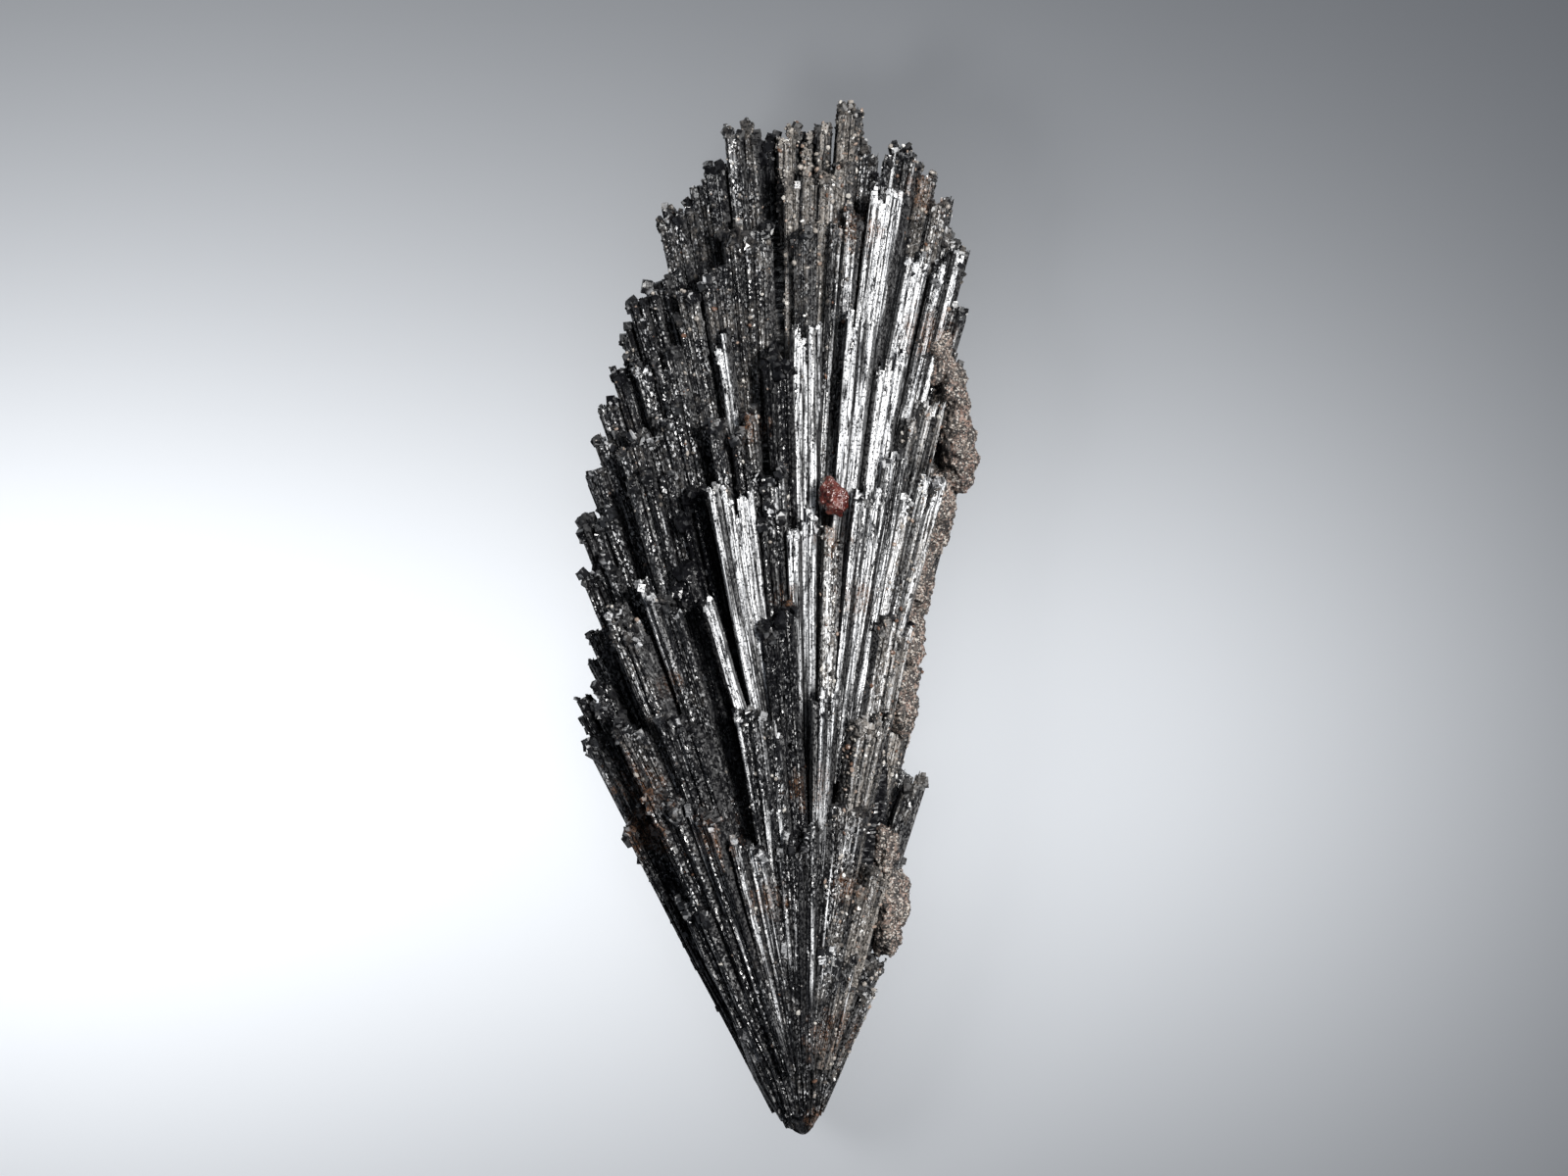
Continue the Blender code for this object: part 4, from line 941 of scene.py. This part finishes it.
def rock_material(look):
    """Sandy, pinkish host rock with pale mica flakes and dark grains."""
    material, g, shader = new_material("rock_finish")
    point = object_point(g)
    grain = noise(g, point, 2600.0, 2.0, 0.7)
    mottle = noise(g, point, 620.0, 4.0, 0.6)
    cells = g.node("ShaderNodeTexVoronoi", {"Vector": point, "Scale": 6000.0}).outputs["Color"]
    pick = g.split(cells)[0]
    x, y, z = g.split(point)
    bands = g.join(g.times(x, 1500.0), g.times(y, 260.0), g.times(z, 900.0))
    bands = noise(g, bands, 1.0, 4.0, 0.65)
    colour = blend_colours(g, g.band(mottle, 0.38, 0.62), look.rock_colour, ROCK_PINK)
    colour = blend_colours(g, g.band(bands, 0.47, 0.6, 0.0, 0.85), colour, ROCK_BANDS)
    colour = blend_colours(g, g.math("GREATER_THAN", pick, 0.86), colour, ROCK_MICA)
    colour = blend_colours(g, g.math("LESS_THAN", pick, 0.45), colour, ROCK_SPECKS)
    g.feed(shader.inputs["Base Color"], colour)
    g.feed(shader.inputs["Roughness"], g.band(grain, 0.3, 0.7, 0.5, 0.9))
    g.feed(shader.inputs["Normal"], bumped(g, grain, 0.0002, 0.8))
    return material


def grain_material(look):
    """Sand and mica: each grain in a colour of its own, from near black over tan and pink to white."""
    material, g, shader = new_material("grain_finish")
    point = object_point(g)
    tint = stored(g, "tint")
    ramp = g.node("ShaderNodeValToRGB", {0: tint})
    ramp.color_ramp.interpolation = "CONSTANT"
    elements = ramp.color_ramp.elements
    while len(elements) < len(GRAIN_COLOURS):
        elements.new(0.5)
    for element, (stop, colour) in zip(elements, GRAIN_COLOURS):
        element.position = stop
        element.color = (*(colour or look.sand_colour), 1)
    fine = noise(g, point, 6000.0, 2.0, 0.6)
    g.feed(shader.inputs["Base Color"], ramp.outputs[0])
    g.feed(shader.inputs["Roughness"], g.band(tint, 0.0, 1.0, 0.6, 0.35))
    g.feed(shader.inputs["Normal"], bumped(g, fine, 0.00008, 0.5))
    return material


def garnet_material(look):
    """Deep red-brown and glassy, with brown crusts in its pits."""
    material, g, shader = new_material("garnet_finish")
    point = object_point(g)
    mottle = noise(g, point, 900.0, 4.0, 0.65)
    fine = noise(g, point, 3800.0, 2.0, 0.6)
    colour = blend_colours(g, g.band(mottle, 0.42, 0.66), look.garnet_colour, GARNET_PALE)
    colour = blend_colours(g, g.band(fine, 0.58, 0.7), colour, GARNET_CRUST)
    g.feed(shader.inputs["Base Color"], colour)
    g.feed(shader.inputs["Roughness"], g.band(mottle, 0.4, 0.7, 0.15, 0.4))
    g.feed(shader.inputs["Normal"], bumped(g, fine, 0.0002, 0.8))
    shader.inputs["IOR"].default_value = GARNET_IOR
    return material


def floor_material(look):
    """Pale and matt."""
    material, _, shader = new_material("floor_finish")
    shader.inputs["Base Color"].default_value = (*look.floor_colour, 1)
    shader.inputs["Roughness"].default_value = 0.9
    return material


def get_material(name, maker, look):
    return bpy.data.materials.get(name) or maker(look)


# Pieces. The roughness of rock and garnet is said as its grain and strength in millimetres.
ROCK_VOXEL = 0.22
ROCK_LUMPS = (2.2, 2.0)
ROCK_GRAINS = (0.5, 0.75)
GARNET_WEAR = 0.22
GARNET_VOXEL = 0.11
GARNET_LUMPS = (1.5, 1.3)
GARNET_LUMPS_MIDDLE = 0.38
GARNET_PITS = (0.7, 0.3)


def make_heart(material):
    """The body under the blades: rings of one count, grooved from toe to crown."""
    rng = random.Random(f"{SEED} heart")
    deep = [rng.uniform(0, HEART_GROOVES) for _ in range(HEART_SIDES)]
    bm = bmesh.new()
    streaks = bm.verts.layers.float_vector.new("streak")
    looks = bm.verts.layers.float_vector.new("looks")
    stations = [Vector(HEART_RINGS[0])]
    for near, far in zip(HEART_RINGS, HEART_RINGS[1:]):
        stations += [Vector(near).lerp(Vector(far), (step + 1) / HEART_STEPS) for step in range(HEART_STEPS)]
    rings = []
    for y, left, right, bottom, top in stations:
        ring = []
        for i in range(HEART_SIDES):
            angle = 2 * math.pi * i / HEART_SIDES
            half_x, half_z = (right - left) / 2, (top - bottom) / 2
            inset = 1 - min(deep[i] * rng.uniform(0.9, 1.0) / half_z, HEART_DEEPEST)
            x = (left + right) / 2 + half_x * math.cos(angle) * inset
            z = (bottom + top) / 2 + half_z * math.sin(angle) * inset - FLOOR_BITE
            vert = bm.verts.new(place(x, y, max(z, 0.0)))
            vert[streaks] = Vector((0.4 * i * MM, y * MM, 0.5))
            vert[looks] = Vector((HEART_SHINE, HEART_DUST, 0.003))
            ring.append(vert)
        rings.append([bm.edges.new((ring[i - 1], ring[i])) for i in range(HEART_SIDES)])
    for near, far in zip(rings, rings[1:]):
        bmesh.ops.bridge_loops(bm, edges=near + far)
    bmesh.ops.holes_fill(bm, edges=rings[0] + rings[-1], sides=HEART_SIDES)
    bmesh.ops.recalc_face_normals(bm, faces=bm.faces)
    mesh = bpy.data.meshes.new("kyanite_heart")
    bm.to_mesh(mesh)
    bm.free()
    piece = bpy.data.objects.new("kyanite_heart", mesh)
    bpy.context.scene.collection.objects.link(piece)
    return with_material(piece, material)


def copy_of_node(name, node):
    """A welded copy of a solid's mesh, to be roughened in its place."""
    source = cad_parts[node]
    bm = bmesh.new()
    bm.from_mesh(source.data)
    bm.transform(source.matrix_world)
    bmesh.ops.remove_doubles(bm, verts=bm.verts, dist=0.00001)
    mesh = bpy.data.meshes.new(name)
    bm.to_mesh(mesh)
    bm.free()
    piece = bpy.data.objects.new(name + "_source", mesh)
    bpy.context.scene.collection.objects.link(piece)
    return piece


def add_roughness(piece, label, size, strength, middle=0.5):
    """Moves the skin in and out by clouds of this size and strength, in millimetres."""
    texture = bpy.data.textures.new(f"{piece.name} {label}", "CLOUDS")
    texture.noise_scale = size * MM
    texture.noise_depth = 3
    modifier = piece.modifiers.new(label, "DISPLACE")
    modifier.texture = texture
    modifier.texture_coords = "LOCAL"
    modifier.strength = strength * MM
    modifier.mid_level = middle


def add_remesh(piece, voxel):
    """Gives the skin even faces of this size, in millimetres."""
    modifier = piece.modifiers.new("skin", "REMESH")
    modifier.mode = "VOXEL"
    modifier.voxel_size = voxel * MM
    return modifier


def with_material(piece, material):
    """The piece, in this material alone."""
    piece.data.materials.clear()
    piece.data.materials.append(material)
    return piece


def make_rock(name, node, material):
    """A strip of host rock: the solid's form, remeshed and roughened into lumps and grains."""
    source = copy_of_node(name, node)
    remesh = add_remesh(source, ROCK_VOXEL)
    remesh.use_smooth_shade = True
    add_roughness(source, "lumps", *ROCK_LUMPS)
    add_roughness(source, "grains", *ROCK_GRAINS)
    return with_material(as_plain_mesh(name, source), material)


def make_garnet(name, node, material):
    """The garnet: its flat faces, with worn edges and small pits."""
    source = copy_of_node(name, node)
    bevel = source.modifiers.new("worn edges", "BEVEL")
    bevel.width = GARNET_WEAR * MM
    bevel.segments = 2
    add_remesh(source, GARNET_VOXEL)
    add_roughness(source, "lumps", *GARNET_LUMPS, GARNET_LUMPS_MIDDLE)
    add_roughness(source, "pits", *GARNET_PITS)
    return with_material(as_plain_mesh(name, source), material)


def dress(piece, slot, *nodes):
    """Says which body the piece rides on and which solids it stands for, and hides those. slot is not used."""
    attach(piece, BODY)
    if nodes:
        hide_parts(*nodes)


def colour_setting(name, description, default):
    return FloatVectorProperty(name=name, description=description, subtype="COLOR", size=3, default=default)


def count_setting(name, description, default, least, most):
    return IntProperty(name=name, description=description, default=default, min=least, max=most)


class KyaniteLook(bpy.types.PropertyGroup):
    """Colours and gloss of the fan and of the floor."""

    # The kyanite black is also the colour of the painted shade in the gaps between blades.
    black_colour: colour_setting("Kyanite black", "Colour in the grooves", (0.004, 0.004, 0.005))
    grey_colour: colour_setting("Kyanite grey", "Colour of the ridges", (0.02, 0.021, 0.023))
    # The colour of the painted highlights and painted glints on the shiny blades.
    painted_highlight_colour: colour_setting("Cleavage silver", "Colour of bright faces", (0.85, 0.86, 0.88))
    sand_colour: colour_setting("Sand", "Colour of the dirt that clings", (0.27, 0.245, 0.22))
    rust_colour: colour_setting("Rust", "Colour of the iron stains", (0.17, 0.085, 0.045))
    rock_colour: colour_setting("Host rock", "Colour of the rock strips", (0.17, 0.14, 0.118))
    garnet_colour: colour_setting("Garnet", "Colour of the garnet", (0.05, 0.007, 0.006))
    floor_colour: colour_setting("Floor", "Colour of the floor", (0.62, 0.63, 0.645))
    gloss: FloatProperty(
        name="Roughness", description="Roughness of clean faces", min=0, max=1, default=0.2, subtype="FACTOR"
    )


class KyaniteShape(bpy.types.PropertyGroup):
    """How finely the blades are split."""

    splinters: count_setting("Splinters", "Long splinters round each blade", 24, 6, 40)
    ledges: count_setting("Ledges", "Splinters that break off early", 10, 0, 30)
    chips: count_setting("Chips", "Short chips on each blade", 16, 0, 60)
    crumbs: count_setting("Crumbs", "Angular crumbs along each blade", 38, 0, 80)
    end_blocks: count_setting("End blocks", "Blocks at each broken end", 15, 0, 40)
    grain_density: FloatProperty(
        name="Grains",
        description="Grains on a square millimetre of the dustiest faces",
        default=4.2,
        min=0,
        max=20,
    )
    seed: IntProperty(name="Seed", description="Changes every splinter", default=3)


BLADE_GROUPS = {
    "rim_blades": RIM,
    "far_blades": FAR,
    "upper_blades": UPPER,
    "middle_blades": MIDDLE,
    "lower_blades": LOWER,
    "toe_blades": TOE,
}


class KYANITE_OT_blades(bpy.types.Operator):
    """Grow the splintered blades of the front, the rim and the toe"""

    bl_idname = "kyanite.blades"
    bl_label = "Blades"

    def execute(self, context):
        shape, look = context.scene.kyanite_shape, context.scene.kyanite_look
        material = get_material("kyanite_finish", kyanite_material, look)
        tree = get_tree("Kyanite Splinters", splinter_tree)
        for number, (name, rows) in enumerate(BLADE_GROUPS.items()):
            piece = make_blades(name, blades_of_rows(rows), tree, material, shape, number)
            dress(piece, "black_kyanite", "kyanite_fan")
        return {"FINISHED"}


class KYANITE_OT_back(bpy.types.Operator):
    """Grow the flatter blades of the back, and the heart under all blades"""

    bl_idname = "kyanite.back"
    bl_label = "Back and heart"

    def execute(self, context):
        shape, look = context.scene.kyanite_shape, context.scene.kyanite_look
        material = get_material("kyanite_finish", kyanite_material, look)
        tree = get_tree("Kyanite Splinters", splinter_tree)
        blades = blades_of_back()
        piece = make_blades("back_blades", blades, tree, material, shape, BACK_SEED, outer_side=-1.0)
        dress(piece, "black_kyanite", "kyanite_fan")
        dress(make_heart(material), "black_kyanite", "kyanite_fan")
        return {"FINISHED"}


class KYANITE_OT_grains(bpy.types.Operator):
    """Strew sand and mica over the dusty blades"""

    bl_idname = "kyanite.grains"
    bl_label = "Sand and mica"

    def execute(self, context):
        shape, look = context.scene.kyanite_shape, context.scene.kyanite_look
        material = get_material("grain_finish", grain_material, look)
        hosts = [bpy.data.objects[name] for name in BLADE_GROUPS]
        density = shape.grain_density / MM**2
        piece = make_grains("sand_grains", "kyanite_fan", hosts, material, density, shape.seed + GRAIN_SEED)
        dress(piece, "matrix_rock")
        return {"FINISHED"}


class KYANITE_OT_minerals(bpy.types.Operator):
    """Add the garnet and the strips of host rock"""

    bl_idname = "kyanite.minerals"
    bl_label = "Garnet and host rock"

    def execute(self, context):
        look = context.scene.kyanite_look
        rock = get_material("rock_finish", rock_material, look)
        for node in ("matrix_crust_upper", "matrix_crust_lower"):
            dress(make_rock("rock_" + node.split("_")[-1], node, rock), "matrix_rock", node)
        garnet = make_garnet("garnet_crystal", "garnet", get_material("garnet_finish", garnet_material, look))
        dress(garnet, "garnet", "garnet")
        return {"FINISHED"}


# Lamps that light all but the floor: name, place, width, depth, watts and colour.
FAN_LAMPS = [
    ("key", (0.2, 0.1, 0.42), 0.11, 0.11, 4.2, (1.0, 0.99, 0.97)),
    ("fill", (0.0, 0.4, 0.45), 0.3, 0.2, 0.35, (0.92, 0.96, 1.0)),
]
FAN_LAMPS_AIM = (0, 0, 0.01)

# Lamps that light the floor alone, brightest left of the fan's middle: name, place, width, depth and
# watts. All have one colour, and those in SHADOWLESS cast no shadow of the fan.
FLOOR_GLOWS = [
    ("glow_wide", (-0.035, -0.014, 0.058), 0.21, 0.03, 0.105),
    ("glow_left", (-0.09, -0.02, 0.085), 0.07, 0.05, 0.06),
]
GLOW_COLOUR = (0.97, 0.985, 1)
SHADOWLESS = {"glow_wide"}

SKY_COLOUR = (0.8, 0.87, 1.0, 1)
SKY_STRENGTH = 0.13
FLOOR_SIZE = 1.5

# The camera hangs above this point, by this height in metres.
CAMERA_LENS = 85.0
CAMERA_CENTRE = Vector((1.2, 3.0, 10.0)) * MM
CAMERA_HEIGHT = 0.389


def add_area_light(name, place_at, look_at, width, depth, power, colour):
    """A rectangular lamp, in metres and watts."""
    light = bpy.data.lights.new(name, "AREA")
    light.shape = "RECTANGLE"
    light.size = width
    light.size_y = depth
    light.energy = power
    light.color = colour
    lamp = bpy.data.objects.new(name, light)
    lamp.location = place_at
    lamp.rotation_euler = (Vector(look_at) - Vector(place_at)).to_track_quat("-Z", "Y").to_euler()
    bpy.context.scene.collection.objects.link(lamp)
    return lamp


class KYANITE_OT_stage(bpy.types.Operator):
    """Lay the pale floor, set the lights and hang the camera over the fan"""

    bl_idname = "kyanite.stage"
    bl_label = "Stage"

    def execute(self, context):
        look = context.scene.kyanite_look
        bm = bmesh.new()
        bmesh.ops.create_grid(bm, x_segments=1, y_segments=1, size=FLOOR_SIZE)
        mesh = bpy.data.meshes.new("floor")
        bm.to_mesh(mesh)
        bm.free()
        floor = bpy.data.objects.new("floor", mesh)
        mesh.materials.append(get_material("floor_finish", floor_material, look))
        context.scene.collection.objects.link(floor)

        not_floor = bpy.data.collections.new("not_lit_by_key")
        not_floor.objects.link(floor)
        not_floor.collection_objects[0].light_linking.link_state = "EXCLUDE"
        for name, spot, width, depth, power, colour in FAN_LAMPS:
            lamp = add_area_light(name, spot, FAN_LAMPS_AIM, width, depth, power, colour)
            lamp.light_linking.receiver_collection = not_floor
        only_floor = bpy.data.collections.new("lit_by_glow")
        only_floor.objects.link(floor)
        for name, spot, width, depth, power in FLOOR_GLOWS:
            glow = add_area_light(name, spot, (*spot[:2], 0), width, depth, power, GLOW_COLOUR)
            glow.light_linking.receiver_collection = only_floor
            if name in SHADOWLESS:
                glow.light_linking.blocker_collection = only_floor

        world = bpy.data.worlds.new("studio")
        world.use_nodes = True
        sky = world.node_tree.nodes["Background"]
        sky.inputs["Color"].default_value = SKY_COLOUR
        sky.inputs["Strength"].default_value = SKY_STRENGTH
        context.scene.world = world

        context.scene.view_settings.view_transform = "Standard"

        camera_data = bpy.data.cameras.new("camera")
        camera_data.lens = CAMERA_LENS
        camera_data.clip_start = 0.01
        camera = bpy.data.objects.new("camera", camera_data)
        camera.location = CAMERA_CENTRE + Vector((0, 0, CAMERA_HEIGHT))
        context.scene.collection.objects.link(camera)
        context.scene.camera = camera
        return {"FINISHED"}


class KYANITE_PT_panel(bpy.types.Panel):
    """The fan's pieces, in the sidebar"""

    bl_label = "Black Kyanite Fan"
    bl_idname = "KYANITE_PT_panel"
    bl_space_type = "VIEW_3D"
    bl_region_type = "UI"
    bl_category = "Kyanite"

    def draw(self, context):
        for group in (context.scene.kyanite_shape, context.scene.kyanite_look):
            for name in group.bl_rna.properties.keys():
                if name not in {"rna_type", "name"}:
                    self.layout.prop(group, name)
        for operator in OPERATORS:
            self.layout.operator(operator.bl_idname)


OPERATORS = (KYANITE_OT_stage, KYANITE_OT_blades, KYANITE_OT_back, KYANITE_OT_grains, KYANITE_OT_minerals)
CLASSES = (KyaniteLook, KyaniteShape) + OPERATORS + (KYANITE_PT_panel,)


def register():
    for cls in CLASSES:
        bpy.utils.register_class(cls)
    bpy.types.Scene.kyanite_look = PointerProperty(type=KyaniteLook)
    bpy.types.Scene.kyanite_shape = PointerProperty(type=KyaniteShape)


def unregister():
    del bpy.types.Scene.kyanite_shape
    del bpy.types.Scene.kyanite_look
    for cls in reversed(CLASSES):
        bpy.utils.unregister_class(cls)


def main():
    register()
    bpy.ops.kyanite.stage()
    bpy.ops.kyanite.blades()
    bpy.ops.kyanite.back()
    bpy.ops.kyanite.grains()
    bpy.ops.kyanite.minerals()


if __name__ == "__main__":
    main()
